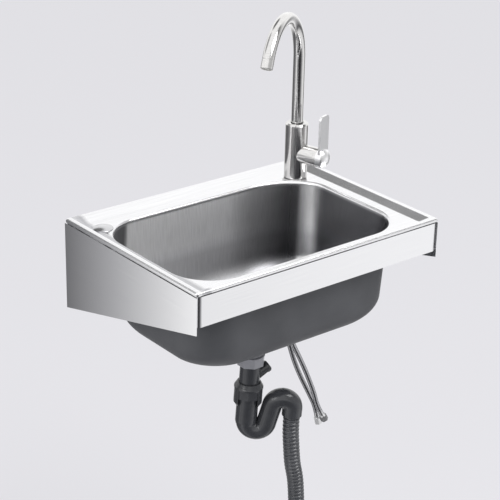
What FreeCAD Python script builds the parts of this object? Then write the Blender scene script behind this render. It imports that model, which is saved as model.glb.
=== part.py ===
import FreeCAD, Part
import Sketcher
import math
import os

# Wall-hung stainless sink on a folded bracket, with a gooseneck side-lever mixer,
# a basket drain, an S-trap, a corrugated drain hose and two supply hoses.
# Frame: origin at the centre of the four wall bolts, on the wall. +X right along the wall,
# +Y into the wall, +Z up. Heights named "below the rim" count down from the rim's top.

doc = FreeCAD.newDocument("WallSink")
V = FreeCAD.Vector
UP = V(0, 0, 1)

# ---------------------------------------------------------------- driving sizes (mm, degrees)
SIZES = {
    # rim and deck
    "rim_wide": 600, "rim_deep": 430, "rim_drop": 9, "rim_roll": 4, "rim_corner": 6,
    "metal": 0.8, "rim_height": 100, "deck_drop": 7,
    "lip_side": 13, "lip_back": 13, "lip_front": 9,
    "slope_left": 9, "slope_right": 20, "slope_back": 20, "slope_front": 8, "recess_corner": 8,
    # bowl
    "bowl_left_in": 25, "bowl_right_in": 52.5, "bowl_front_in": 25, "bowl_back_in": 58,
    "bowl_corner": 92, "tap_corner_wide": 140, "tap_corner_deep": 95, "bowl_edge": 6,
    "bowl_depth": 217, "bowl_fillet": 58,
    "draft_side": 4.5, "draft_front": 1, "draft_back": 3, "coat": 0.6, "coat_top": 30,
    # bracket
    "plate_metal": 1.2, "plate_back": 192.5, "plate_front": 83.5, "flange_top": 15,
    "flange_rear": 31, "flange_start": 6, "flange_end": 36, "bolt_in": 17, "bolt_tall": 100,
    "bolt_hole": 9, "apron_metal": 1, "apron_tall": 69.3, "apron_bend": 11, "apron_return": 34,
    "rail_tall": 46, "rail_shelf": 14,
    "clip_long": 22, "clip_pad_right": 12, "clip_pad_left": 2.5, "clip_near": 120,
    "clip_far": 320, "clip_screw": 5, "clip_screw_in": 9, "clip_head": 8.4, "clip_nut": 8,
    # spare tap hole
    "hole": 35, "spare_hole": 28, "spare_in": 43, "spare_back": 71, "cover": 40,
    "cover_tall": 4, "cover_stud": 6, "cover_stud_long": 24, "cover_washer": 31.6,
    # tap body, hub and lever
    "tap_in": 69, "tap_back": 70.5, "tap_gasket": 0.6, "tap_body": 48.6, "tap_tall": 120,
    "tap_chamfer": 3.4, "stem": 18.6, "stem_seat": 62, "run_gap": 0.3, "fit_gap": 0.1,
    "hub_turn": -71.6, "hub_up": 53, "hub": 41, "hub_long": 50, "cartridge": 34,
    "cartridge_in": 26, "bonnet_rim": 56.3, "bonnet_top": 62, "bonnet_hole": 22,
    "pivot_in": 44, "dome": 23.9, "lever_rim": 70, "lever_end": 79, "blade_wide": 33,
    "blade_up": 94, "blade_in": 62.5, "blade_thick": 5, "blade_corner": 9, "lever_pin": 5.8,
    # spout
    "spout": 25, "spout_bore": 21.6, "spout_turn": -148.2, "spout_rise": 259.8,
    "spout_bend": 106.5, "spout_sweep": 151, "aerator_long": 20, "swivel_ring": 26.6,
    # tap mounting
    "shank": 32.8, "shank_bore": 25.2, "shank_long": 58, "shank_in": 17, "washer": 48,
    "washer_thick": 3, "nut_flats": 41, "nut_tall": 10,
    # supply hoses
    "hose": 11, "hose_bore": 6, "hose_apart": 11.6, "hose_apart_turn": -38.6, "tail_end": 72,
    "ferrule": 11.4, "ferrule_long": 15, "supply_nut": 15.5, "supply_nut_long": 15,
    # drain
    "drain_aside": 0.75, "drain_ahead": 3.5, "drain_hole": 90, "strainer_flange": 114,
    "strainer_metal": 1, "strainer_deep": 22, "gasket_thick": 3, "drain_cup": 96,
    "cup_wall": 2.5, "cup_deep": 45, "cup_cone": 21, "neck": 47, "neck_long": 17,
    "lock_nut": 57, "lock_nut_up": 11, "lock_nut_tall": 20, "lock_washer": 57,
    # tailpiece, slip joint and trap: their heights count down from the tailpiece's top
    "tail": 42.5, "tail_bore": 37, "tail_drop": 2.8, "tail_long": 74, "branch": 23,
    "branch_cap": 26, "branch_cap_long": 10, "branch_up": 35.8, "branch_turn": 25,
    "branch_down": 45.1, "branch_long": 51, "slip_down": 47, "slip_ring": 60.5,
    "slip_ring_end": 60, "slip_grip": 59.5, "slip_grip_end": 79.4, "slip_ear": 59,
    "slip_ear_gap": 40, "slip_end": 98.5, "hang_tilt": 3, "trap_turn": -38.6,
    "trap": 42, "trap_bore": 36,
    "trap_leg": 45.5, "trap_bend": 21.2, "trap_down": 138, "trap_lean": 12,
    "trap_limb": 45, "trap_outlet": 15.5, "hose_socket": 5,
    "drain_hose": 35, "drain_hose_bore": 27, "rib_pitch": 8.7, "rib_deep": 3,
    "cuff": 42, "cuff_long": 40,
}
sheet = doc.addObject("Spreadsheet::Sheet", "sizes")
for row, (alias, amount) in enumerate(SIZES.items(), 1):
    sheet.set(f"A{row}", alias.replace("_", " "))
    sheet.set(f"B{row}", str(amount))
    sheet.setAlias(f"B{row}", alias)
doc.recompute()


class Size:
    """A number that remembers the sheet formula it comes from."""

    def __init__(self, amount, formula):
        self.amount = float(amount)
        self.formula = formula

    def _with(self, other, sign, amount, swap=False):
        left, right = (other, self) if swap else (self, other)
        return Size(amount, f"({formula(left)} {sign} {formula(right)})")

    def __add__(self, other):
        return self._with(other, "+", self.amount + number(other))

    def __radd__(self, other):
        return self._with(other, "+", self.amount + number(other), True)

    def __sub__(self, other):
        return self._with(other, "-", self.amount - number(other))

    def __rsub__(self, other):
        return self._with(other, "-", number(other) - self.amount, True)

    def __mul__(self, other):
        return self._with(other, "*", self.amount * number(other))

    __rmul__ = __mul__

    def __truediv__(self, other):
        return self._with(other, "/", self.amount / number(other))

    def __neg__(self):
        return Size(-self.amount, f"(-1 * {self.formula})")

    def __float__(self):
        return self.amount

    def cos(self):
        return Size(math.cos(math.radians(self.amount)), f"cos({self.formula} * 1 deg)")

    def sin(self):
        return Size(math.sin(math.radians(self.amount)), f"sin({self.formula} * 1 deg)")

    def root(self):
        return Size(math.sqrt(self.amount), f"sqrt({self.formula})")


def number(q):
    return q.amount if isinstance(q, Size) else float(q)


def formula(q):
    return q.formula if isinstance(q, Size) else f"{float(q):.6f}"


class Sizes:
    """Reads the sheet: S.rim_wide is the Size of that cell."""

    def __getattr__(self, alias):
        return Size(float(sheet.get(alias)), f"sizes.{alias}")


S = Sizes()
PARTS = []


def part(obj, label):
    """Keep a finished sub-part under its label."""
    obj.Label = label
    PARTS.append(obj)
    return obj


def bind(obj, name, q):
    """Set a property from a Size, kept as a formula, or from a plain number."""
    if isinstance(q, Size):
        obj.setExpression(name, q.formula)
    else:
        setattr(obj, name, q)


def place(obj, at, turn=None):
    """Put an object at a point of the part's frame; each coordinate stays a formula."""
    base = V(*(number(c) for c in at))
    obj.Placement = FreeCAD.Placement(base, turn or FreeCAD.Rotation())
    for axis, c in zip("xyz", at):
        if isinstance(c, Size):
            obj.setExpression(f"Placement.Base.{axis}", c.formula)
    return obj


# ---------------------------------------------------------------- sketches and bodies
def origin_plane(body, role):
    return next(f for f in body.Origin.OriginFeatures if f.Role == role)


def new_body(name):
    return doc.addObject("PartDesign::Body", name)


def new_sketch(body, role, lift=0):
    """A sketch on one of the body's own planes, lifted along the plane's normal."""
    sketch = body.newObject("Sketcher::SketchObject", body.Name + "_sketch")
    sketch.AttachmentSupport = (origin_plane(body, role), "")
    sketch.MapMode = "FlatFace"
    sketch.AttachmentOffset = FreeCAD.Placement(V(0, 0, number(lift)), FreeCAD.Rotation())
    if isinstance(lift, Size):
        sketch.setExpression("AttachmentOffset.Base.z", lift.formula)
    return sketch


def fix_point(sketch, edge, end, x, y, tag):
    """Hold one end of an edge at (x, y), by a formula or on an axis."""
    for kind, axis, q in (("DistanceX", -2, x), ("DistanceY", -1, y)):
        if not isinstance(q, Size) and q == 0:
            sketch.addConstraint(Sketcher.Constraint("PointOnObject", edge, end, axis))
            continue
        index = sketch.addConstraint(Sketcher.Constraint(kind, -1, 1, edge, end, number(q)))
        name = f"{tag}{kind[-1].lower()}"
        sketch.renameConstraint(index, name)
        if isinstance(q, Size):
            sketch.setExpression(f"Constraints.{name}", q.formula)


def arc_centre(a, b, radius, side):
    """Centre of the arc from a to b; side +1 puts it left of the way from a to b."""
    middle = (a + b) * 0.5
    half = (b - a).Length / 2
    rise = math.sqrt(max(radius * radius - half * half, 0))
    return middle + V(-(b - a).y, (b - a).x, 0).normalize() * rise * side


def outline(sketch, corners, closed=True):
    """Lines, or arcs where a corner carries (x, y, radius, side), from corner to corner."""
    count = len(corners)
    spots = [V(number(c[0]), number(c[1]), 0) for c in corners]
    last = count if closed else count - 1
    for i in range(last):
        a, b = spots[i], spots[(i + 1) % count]
        ahead = corners[(i + 1) % count]
        if len(ahead) == 2:
            sketch.addGeometry(Part.LineSegment(a, b), False)
            continue
        centre = arc_centre(a, b, number(ahead[2]), ahead[3])
        circle = Part.Circle(centre, UP, number(ahead[2]))
        start = math.atan2(a.y - centre.y, a.x - centre.x)
        end = math.atan2(b.y - centre.y, b.x - centre.x)
        if ahead[3] < 0:
            start, end = end, start
        sketch.addGeometry(Part.ArcOfCircle(circle, start, end), False)
    reverse = [len(corners[(i + 1) % count]) == 4 and corners[(i + 1) % count][3] < 0
               for i in range(last)]
    for i in range(last if closed else last - 1):
        j = (i + 1) % last
        sketch.addConstraint(Sketcher.Constraint(
            "Coincident", i, 1 if reverse[i] else 2, j, 2 if reverse[j] else 1))
    for i in range(last):
        fix_point(sketch, i, 2 if reverse[i] else 1, corners[i][0], corners[i][1], f"p{i}")
        ahead = corners[(i + 1) % count]
        if len(ahead) == 4:
            index = sketch.addConstraint(Sketcher.Constraint("Radius", i, number(ahead[2])))
            sketch.renameConstraint(index, f"r{i}")
            if isinstance(ahead[2], Size):
                sketch.setExpression(f"Constraints.r{i}", ahead[2].formula)
    if not closed:
        end = last - 1
        fix_point(sketch, end, 1 if reverse[end] else 2, corners[-1][0], corners[-1][1], "pe")
    return sketch


def circles(sketch, spots):
    """Circles (x, y, diameter) in a sketch."""
    for i, (x, y, wide) in enumerate(spots):
        sketch.addGeometry(Part.Circle(V(number(x), number(y), 0), UP, number(wide) / 2), False)
        fix_point(sketch, i, 3, x, y, f"c{i}")
        index = sketch.addConstraint(Sketcher.Constraint("Diameter", i, number(wide)))
        sketch.renameConstraint(index, f"d{i}")
        if isinstance(wide, Size):
            sketch.setExpression(f"Constraints.d{i}", wide.formula)
    return sketch


def extrude(body, kind, sketch, length, back=False):
    """A Pad or a Pocket of a sketch."""
    feature = body.newObject(f"PartDesign::{kind}", f"{body.Name}_{kind}")
    feature.Profile = sketch
    bind(feature, "Length", length)
    feature.Reversed = back
    return feature


def turn_feature(body, kind, sketch):
    """A Revolution or a Groove of a sketch about its own upright axis."""
    feature = body.newObject(f"PartDesign::{kind}", f"{body.Name}_{kind}")
    feature.Profile = sketch
    feature.ReferenceAxis = (sketch, ["V_Axis"])
    feature.Angle = 360
    return feature


def turned(name, corners):
    """A body of revolution from its half section of (radius, height) corners."""
    body = new_body(name)
    turn_feature(body, "Revolution", outline(new_sketch(body, "XZ_Plane"), corners))
    return body


def ring(name, outer, inner, bottom, top):
    """A plain ring or washer."""
    return turned(name, [(inner / 2, bottom), (outer / 2, bottom),
                         (outer / 2, top), (inner / 2, top)])


def polygon(sides, across_corners, start=0.0):
    """Corners of a regular polygon, from its width across corners."""
    angles = [start + 360.0 * i / sides for i in range(sides)]
    return [(across_corners * (0.5 * math.cos(math.radians(a))),
             across_corners * (0.5 * math.sin(math.radians(a)))) for a in angles]


def prism_nut(name, sides, across_corners, bore, bottom, tall):
    """A nut: a polygon pad with a round bore."""
    body = new_body(name)
    start = 180.0 / sides
    extrude(body, "Pad", outline(new_sketch(body, "XY_Plane", bottom),
                                 polygon(sides, across_corners, start)), tall)
    hole = circles(new_sketch(body, "XY_Plane", bottom), [(0, 0, bore)])
    extrude(body, "Pocket", hole, tall, back=True)
    return body


def cylinder(name, wide, tall, at=(0, 0, 0), turn=None):
    """A Part cylinder whose base centre is at a point."""
    obj = doc.addObject("Part::Cylinder", name)
    bind(obj, "Radius", wide / 2)
    bind(obj, "Height", tall)
    return place(obj, at, turn)


def cut(name, base, tool):
    obj = doc.addObject("Part::Cut", name)
    obj.Base, obj.Tool = base, tool
    return obj


def fuse(name, shapes):
    obj = doc.addObject("Part::MultiFuse", name)
    obj.Shapes = shapes
    return obj


def group(name, shapes):
    """Identical loose pieces in one node."""
    obj = doc.addObject("Part::Compound", name)
    obj.Links = shapes
    return obj


def shaped(name, shape, at=(0, 0, 0), turn=None):
    """A feature whose shape is built below from the sheet's sizes."""
    obj = doc.addObject("Part::Feature", name)
    obj.Shape = shape
    return place(obj, at, turn)


def edges_at(shape, test):
    """Names of the edges whose middle point passes a test."""
    names = []
    for i, edge in enumerate(shape.Edges, 1):
        middle = edge.valueAt((edge.FirstParameter + edge.LastParameter) / 2)
        if test(edge, middle):
            names.append(f"Edge{i}")
    return names


# ---------------------------------------------------------------- frames of the groups
RIM = (0, 0, S.rim_height)
TAP_X = S.rim_wide / 2 - S.tap_in
TAP = (TAP_X, -S.tap_back, S.rim_height - S.deck_drop)
SPARE_X = S.spare_in - S.rim_wide / 2
BOWL_LEFT = S.rim_wide / 2 - S.bowl_left_in
BOWL_RIGHT = S.rim_wide / 2 - S.bowl_right_in
BOWL_FRONT = S.rim_deep - S.bowl_front_in
DRAIN_X = (BOWL_RIGHT - BOWL_LEFT) / 2 + S.drain_aside
DRAIN_Y = -(BOWL_FRONT + S.bowl_back_in) / 2 - S.drain_ahead
DRAIN = (DRAIN_X, DRAIN_Y, S.rim_height)


def heading(angle):
    return V(math.cos(math.radians(number(angle))), math.sin(math.radians(number(angle))), 0)


# Hub frame: local Z runs out along the hub, local Y is up.
HUB_OUT = heading(S.hub_turn)
HUB_TURN = FreeCAD.Rotation(UP.cross(HUB_OUT), UP, HUB_OUT, "ZYX")
HUB = (TAP_X, -S.tap_back, S.rim_height - S.deck_drop + S.hub_up)
SPOUT_TURN = FreeCAD.Rotation(UP, number(S.spout_turn))

# Everything below the lock nut hangs a little out of plumb, in the trap's own plane.
TRAP_TURN = FreeCAD.Rotation(UP, number(S.trap_turn))
HANG_AXIS = heading(S.trap_turn).cross(UP)
HANG_TURN = FreeCAD.Rotation(HANG_AXIS, -number(S.hang_tilt)).multiply(TRAP_TURN)
CUP_END = S.bowl_depth + S.cup_deep + S.cup_cone + S.neck_long
HANG_PIVOT = CUP_END + S.tail_drop


def hang(obj, low=0, lean=None):
    """Hang a piece of the trap from its pivot inside the lock nut, or leaning from below it."""
    step = HANG_TURN.multVec(V(0, 0, number(low)))
    at = (DRAIN_X + step.x, DRAIN_Y + step.y, S.rim_height - HANG_PIVOT + step.z)
    return place(obj, at, HANG_TURN.multiply(lean) if lean else HANG_TURN)


# ---------------------------------------------------------------- pressed basin
def rounded_ring(left, right, front, back, corners, z):
    """A closed wire of four sides and four corner arcs; corners are (wide, deep) pairs,
    front left, front right, back right, back left. Every ring has the same eight edges."""
    box = ((left, front, 1, 1), (right, front, -1, 1), (right, back, -1, -1), (left, back, 1, -1))
    arcs = []
    for (x, y, sx, sy), (wide, deep), start in zip(box, corners, (180, 270, 0, 90)):
        centre = V(x + sx * wide, y + sy * deep, z)
        if abs(wide - deep) < 1e-6:
            curve = Part.Circle(centre, UP, wide)
        else:
            curve = Part.Ellipse(centre + V(wide, 0, 0), centre + V(0, deep, 0), centre)
        arcs.append(Part.ArcOfEllipse(curve, math.radians(start), math.radians(start + 90))
                    if abs(wide - deep) >= 1e-6 else
                    Part.ArcOfCircle(curve, math.radians(start), math.radians(start + 90)))
    edges = []
    for i, arc in enumerate(arcs):
        following = arcs[(i + 1) % 4]
        edges += [arc.toShape(), Part.LineSegment(arc.EndPoint, following.StartPoint).toShape()]
    return Part.Wire(edges)


def flat_face(wires):
    """A flat face with a hole, from its two wires in any order."""
    return Part.makeFace(wires, "Part::FaceMakerBullseye")


def skin(rings):
    """Faces of a ruled skin through rings of the same edges; level pairs make a flat face."""
    faces = []
    for first, second in zip(rings, rings[1:]):
        if abs(first.BoundBox.ZMin - second.BoundBox.ZMin) > 1e-6:
            faces += Part.makeLoft([first, second], False, True).Faces
            continue
        faces.append(flat_face([first, second]))
    return faces


def solid_of(faces):
    shell = Part.makeShell(faces)
    shell.sewShape()
    solid = Part.makeSolid(shell)
    if solid.Volume < 0:
        solid.reverse()
    return solid


def rim_ring(inset, z):
    half = number(S.rim_wide) / 2
    corner = max(number(S.rim_corner) - inset, number(S.rim_corner) / 3)
    return rounded_ring(-half + inset, half - inset, -number(S.rim_deep) + inset, -inset,
                        [(corner, corner)] * 4, z)


def recess_ring(share, z):
    """Edge of the recess, from the lip (share 0) to the deck (share 1)."""
    half = number(S.rim_wide) / 2
    left = number(S.lip_side) + share * number(S.slope_left)
    right = number(S.lip_side) + share * number(S.slope_right)
    front = number(S.lip_front) + share * number(S.slope_front)
    back = number(S.lip_back) + share * number(S.slope_back)
    corner = number(S.recess_corner)
    return rounded_ring(-half + left, half - right, -number(S.rim_deep) + front, -back,
                        [(corner, corner)] * 4, z)


def bowl_ring(inset, below, z, shrink):
    """A ring of the bowl: an inset from the opening, plus the draft of each wall."""
    side = math.tan(math.radians(number(S.draft_side))) * below + inset
    front = math.tan(math.radians(number(S.draft_front))) * below + inset
    back = math.tan(math.radians(number(S.draft_back))) * below + inset
    corner = number(S.bowl_corner) - shrink
    tap = (number(S.tap_corner_wide) - shrink, number(S.tap_corner_deep) - shrink)
    return rounded_ring(-number(BOWL_LEFT) + side, number(BOWL_RIGHT) - side,
                        -number(BOWL_FRONT) + front, -number(S.bowl_back_in) - back,
                        [(corner, corner), (corner, corner), tap, (corner, corner)], z)


def bowl_rings(grow, from_wall=False):
    """Rings of the bowl from its opening to its floor; grow moves the skin outward."""
    deck = -number(S.deck_drop)
    edge = number(S.bowl_edge)
    fillet = number(S.bowl_fillet)
    metal = number(S.metal)
    wall_top = deck - edge
    wall_bottom = -number(S.bowl_depth) + metal + fillet
    rings = []
    if not from_wall:
        for a in (0, 30, 60):
            c, s = math.cos(math.radians(a)), math.sin(math.radians(a))
            reach = (edge - grow) * s
            rings.append(bowl_ring(reach, 0, wall_top + (edge - grow) * c, reach))
        rings.append(bowl_ring(edge - grow, 0, wall_top, edge - grow))
    else:
        wall_top = -number(S.coat_top)
        start = deck - edge - wall_top
        rings.append(bowl_ring(edge - grow, start, wall_top, edge - grow))
    depth = deck - edge - wall_bottom
    for a in range(0, 91, 15):
        c, s = math.cos(math.radians(a)), math.sin(math.radians(a))
        inset = edge + fillet - (fillet + grow) * c
        rings.append(bowl_ring(inset, depth, wall_bottom - (fillet + grow) * s, edge - grow))
    return rings


def floor_face(floor_ring, hole_wide):
    """The flat floor with its round drain hole, and the hole's edge."""
    z = floor_ring.BoundBox.ZMin
    centre = V(number(DRAIN_X), number(DRAIN_Y), z)
    edge = Part.Wire(Part.Circle(centre, UP, hole_wide / 2).toShape())
    return flat_face([floor_ring, edge]), edge


def roll_rings(grow):
    """Rings of the rolled rim, from the skirt's lower edge up to the flat lip."""
    roll, drop = number(S.rim_roll), number(S.rim_drop)
    rings = [rim_ring(grow, -drop)]
    for a in (0, 30, 60, 90):
        c, s = math.cos(math.radians(a)), math.sin(math.radians(a))
        rings.append(rim_ring(roll - (roll - grow) * c, -roll + (roll - grow) * s))
    return rings


def make_basin():
    """One pressed sheet: skirt, rolled rim, lip, sloped recess, deck, bowl and floor."""
    metal, drop = number(S.metal), number(S.deck_drop)
    top = roll_rings(0) + [recess_ring(0, 0), recess_ring(1, -drop)] + bowl_rings(0)
    under = (roll_rings(metal) + [recess_ring(0, -metal), recess_ring(1, -drop - metal)]
             + bowl_rings(metal))
    top_floor, top_edge = floor_face(top[-1], number(S.drain_hole))
    under_floor, under_edge = floor_face(under[-1], number(S.drain_hole))
    faces = skin(top) + skin(under) + skin([top[0], under[0]]) + [top_floor, under_floor]
    faces += Part.makeLoft([top_edge, under_edge], False, True).Faces
    basin = solid_of(faces)
    for x, back, wide in ((TAP_X, S.tap_back, S.hole), (SPARE_X, S.spare_back, S.spare_hole)):
        low = V(number(x), -number(back), -drop - 2 * metal)
        basin = basin.cut(Part.makeCylinder(number(wide) / 2, 3 * metal, low)).Solids[0]
    return part(shaped("basin", basin, RIM), "basin")


def make_coat():
    """Sound-deadening coat sprayed on the outside of the bowl, clear of the drain."""
    metal = number(S.metal)
    inner = bowl_rings(metal, True)
    outer = bowl_rings(metal + number(S.coat), True)
    masked = number(S.strainer_flange) + 10
    inner_floor, inner_edge = floor_face(inner[-1], masked)
    outer_floor, outer_edge = floor_face(outer[-1], masked)
    faces = skin(inner) + skin(outer) + skin([inner[0], outer[0]]) + [inner_floor, outer_floor]
    faces += Part.makeLoft([inner_edge, outer_edge], False, True).Faces
    return part(shaped("bowl_coat", solid_of(faces), RIM), "bowl_coat")


# ---------------------------------------------------------------- bracket
def make_side_plate(label, side):
    """Tapered side plate with a shelf under the rim and a bolting flange on the wall."""
    body = new_body(label)
    metal, half = S.plate_metal, S.rim_wide / 2
    outer = -half if side < 0 else half - metal
    blank = [(-S.rim_deep, -S.rim_drop), (-S.rim_deep, -S.plate_front),
             (0, -S.plate_back), (0, -S.rim_drop)]
    extrude(body, "Pad", outline(new_sketch(body, "YZ_Plane", outer), blank), metal)
    inside = half - metal
    shelf_in = half - S.flange_top
    shelf = [(inside * side, -S.rim_drop), (shelf_in * side, -S.rim_drop),
             (shelf_in * side, -S.rim_drop - metal), (inside * side, -S.rim_drop - metal)]
    extrude(body, "Pad", outline(new_sketch(body, "XZ_Plane", S.flange_start), shelf),
            S.rim_deep - S.flange_start - S.flange_end)
    rear_in = half - S.flange_rear
    bottom = -S.plate_back + 3
    rear = [(inside * side, -S.rim_drop - metal * 2), (rear_in * side, -S.rim_drop - metal * 2),
            (rear_in * side, bottom), (inside * side, bottom)]
    extrude(body, "Pad", outline(new_sketch(body, "XZ_Plane"), rear), metal)
    across = (half - S.bolt_in) * side
    bolts = [(across, -S.rim_height + S.bolt_tall / 2, S.bolt_hole),
             (across, -S.rim_height - S.bolt_tall / 2, S.bolt_hole)]
    extrude(body, "Pocket", circles(new_sketch(body, "XZ_Plane", metal), bolts), metal)
    screws = [((half - S.clip_screw_in) * side, -S.clip_near, S.clip_screw + S.fit_gap * 2),
              ((half - S.clip_screw_in) * side, -S.clip_far, S.clip_screw + S.fit_gap * 2)]
    holes = circles(new_sketch(body, "XY_Plane", -S.rim_drop), screws)
    extrude(body, "Pocket", holes, metal)
    return part(place(body, RIM), label)


def make_apron():
    """Front apron: one strip bent back at both ends, tucked behind the side plates."""
    body = new_body("front_apron")
    out = S.rim_wide / 2 - S.plate_metal
    front = -S.rim_deep
    metal = S.apron_metal
    strip = [(-out, front + S.apron_return), (-out, front), (out, front),
             (out, front + S.apron_return), (out - metal, front + S.apron_return),
             (out - metal, front + metal), (-out + metal, front + metal),
             (-out + metal, front + S.apron_return)]
    extrude(body, "Pad", outline(new_sketch(body, "XY_Plane", -S.apron_tall), strip),
            S.apron_tall - S.rim_drop)
    doc.recompute()
    reach, y = number(out), number(front)
    for name, inset, radius in (("outer", 0, S.apron_bend), ("inner", 1, S.apron_bend - metal)):
        skin_in = number(metal) * inset
        base = body.Tip
        bend = body.newObject("PartDesign::Fillet", f"apron_{name}_bend")
        picked = edges_at(base.Shape, lambda e, p: abs(abs(p.x) - reach + skin_in) < 1e-4
                          and abs(p.y - y - skin_in) < 1e-4)
        bend.Base = (base, picked)
        bind(bend, "Radius", radius)
        body.Tip = bend
        doc.recompute()
    return part(place(body, RIM), "front_apron")


def make_rear_rail():
    """Angle between the wall flanges that carries the rim's back edge."""
    body = new_body("rear_rail")
    half = S.rim_wide / 2 - S.flange_rear
    top = -S.rim_drop
    metal = S.plate_metal
    angle = [(0, top), (-S.rail_shelf, top), (-S.rail_shelf, top - metal), (-metal, top - metal),
             (-metal, -S.rail_tall), (0, -S.rail_tall)]
    extrude(body, "Pad", outline(new_sketch(body, "YZ_Plane", -half), angle), half * 2)
    return part(place(body, RIM), "rear_rail")


def clip_spots():
    """Each clip: its side, its distance from the wall, and how far its pad reaches in."""
    for side, pad, slope in ((-1, S.clip_pad_left, S.slope_left),
                             (1, S.clip_pad_right, S.slope_right)):
        for y in (S.clip_near, S.clip_far):
            yield side, y, S.rim_wide / 2 - S.lip_side - slope, pad


def make_clips():
    """Cranked clips welded under the deck and screwed to the side plates' shelves."""
    clips, screws = [], []
    metal = S.plate_metal
    deck = -S.deck_drop - S.metal
    shelf = -S.rim_drop - metal
    for i, (side, y, edge, pad) in enumerate(clip_spots()):
        body = new_body(f"clip_{i}")
        end = S.rim_wide / 2 - S.plate_metal - 2
        joggle = edge + 1
        crank = [((edge - pad) * side, deck), (joggle * side, deck), (joggle * side, shelf),
                 (end * side, shelf), (end * side, shelf - metal),
                 ((joggle - metal) * side, shelf - metal), ((joggle - metal) * side, deck - metal),
                 ((edge - pad) * side, deck - metal)]
        extrude(body, "Pad", outline(new_sketch(body, "XZ_Plane", y - S.clip_long / 2), crank),
                S.clip_long)
        across = (S.rim_wide / 2 - S.clip_screw_in) * side
        hole = circles(new_sketch(body, "XY_Plane", shelf),
                       [(across, -y, S.clip_screw + S.fit_gap * 2)])
        extrude(body, "Pocket", hole, metal)
        clips.append(place(body, RIM))
        nut, head = S.clip_nut / 2, S.clip_head / 2
        screw = turned(f"clip_screw_{i}", [
            (0, -S.clip_screw * 2.4), (S.clip_screw / 2, -S.clip_screw * 2.4),
            (S.clip_screw / 2, -metal * 2 - 4), (nut, -metal * 2 - 4), (nut, -metal * 2),
            (S.clip_screw / 2, -metal * 2), (S.clip_screw / 2, 0), (head, 0), (head, 1.6),
            (head - 1, 2.6), (0, 2.6)])
        screws.append(place(screw, (across, -y, S.rim_height - S.rim_drop)))
    part(group("rim_clips", clips), "rim_clips")
    part(group("clip_screws", screws), "clip_screws")


# ---------------------------------------------------------------- spare tap hole
def make_cover():
    """Domed cover on the spare tap hole, held from below by a wing nut."""
    at = (SPARE_X, -S.spare_back, S.rim_height - S.deck_drop)
    rise, wide = S.cover_tall, S.cover / 2
    crown = (wide * wide + (rise - 1) * (rise - 1)) / ((rise - 1) * 2)
    cap = turned("tap_hole_cover", [(0, 0), (wide, 0), (wide, 1), (0, rise, crown, 1)])
    part(place(cap, at), "tap_hole_cover")
    stud = turned("cover_stud", [(0, 0), (0, -S.cover_stud_long),
                                 (S.cover_stud / 2, -S.cover_stud_long), (S.cover_stud / 2, 0)])
    part(place(stud, at), "cover_stud")
    under = -S.metal
    washer = ring("cover_washer", S.cover_washer, S.cover_stud + S.fit_gap * 2, under - 2, under)
    part(place(washer, at), "cover_washer")
    hub = ring("cover_nut_hub", S.cover_stud * 2, S.cover_stud + S.fit_gap * 2,
               under - 9, under - 2)
    wings = new_body("cover_nut_wings")
    for side in (-1, 1):
        inner, outer = S.cover_stud * 0.9, S.cover_stud * 2.2
        wing = [(inner * side, under - 3), (outer * side, under - 7), (outer * side, under - 11),
                (inner * side, under - 8)]
        extrude(wings, "Pad", outline(new_sketch(wings, "XZ_Plane", -1), wing), 2)
    return part(place(fuse("cover_wing_nut", [hub, wings]), at), "cover_wing_nut")


# ---------------------------------------------------------------- tap
def make_tap_body():
    """Upright body with a side hub, bored for the spout stem, the cartridge and the shank."""
    gasket = ring("base_gasket", S.tap_body - 0.6, S.shank + S.run_gap * 2, 0, S.tap_gasket)
    part(place(gasket, TAP), "base_gasket")
    wide, top = S.tap_body / 2, S.tap_tall
    bore = S.stem / 2 + S.fit_gap
    chamber = S.shank / 2 + S.fit_gap
    outer = turned("tap_column", [
        (chamber, S.tap_gasket), (wide, S.tap_gasket), (wide, top - S.tap_chamfer),
        (wide - S.tap_chamfer, top), (bore, top), (bore, S.stem_seat), (0, S.stem_seat),
        (0, S.hub_up - S.hub / 2), (chamber, S.hub_up - S.hub / 2)])
    hub = cylinder("tap_hub", S.hub, S.hub_long, (0, 0, S.hub_up), HUB_TURN)
    column = fuse("tap_column_hub", [outer, hub])
    pocket = cylinder("cartridge_pocket", S.cartridge + S.fit_gap * 2, S.hub_long,
                      (HUB_OUT.x * S.cartridge_in, HUB_OUT.y * S.cartridge_in, S.hub_up),
                      HUB_TURN)
    stem_bore = cylinder("stem_bore", bore * 2, top, (0, 0, S.stem_seat))
    body = cut("tap_body", cut("tap_bored", column, pocket), stem_bore)
    return part(place(body, TAP), "tap_body")


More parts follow.
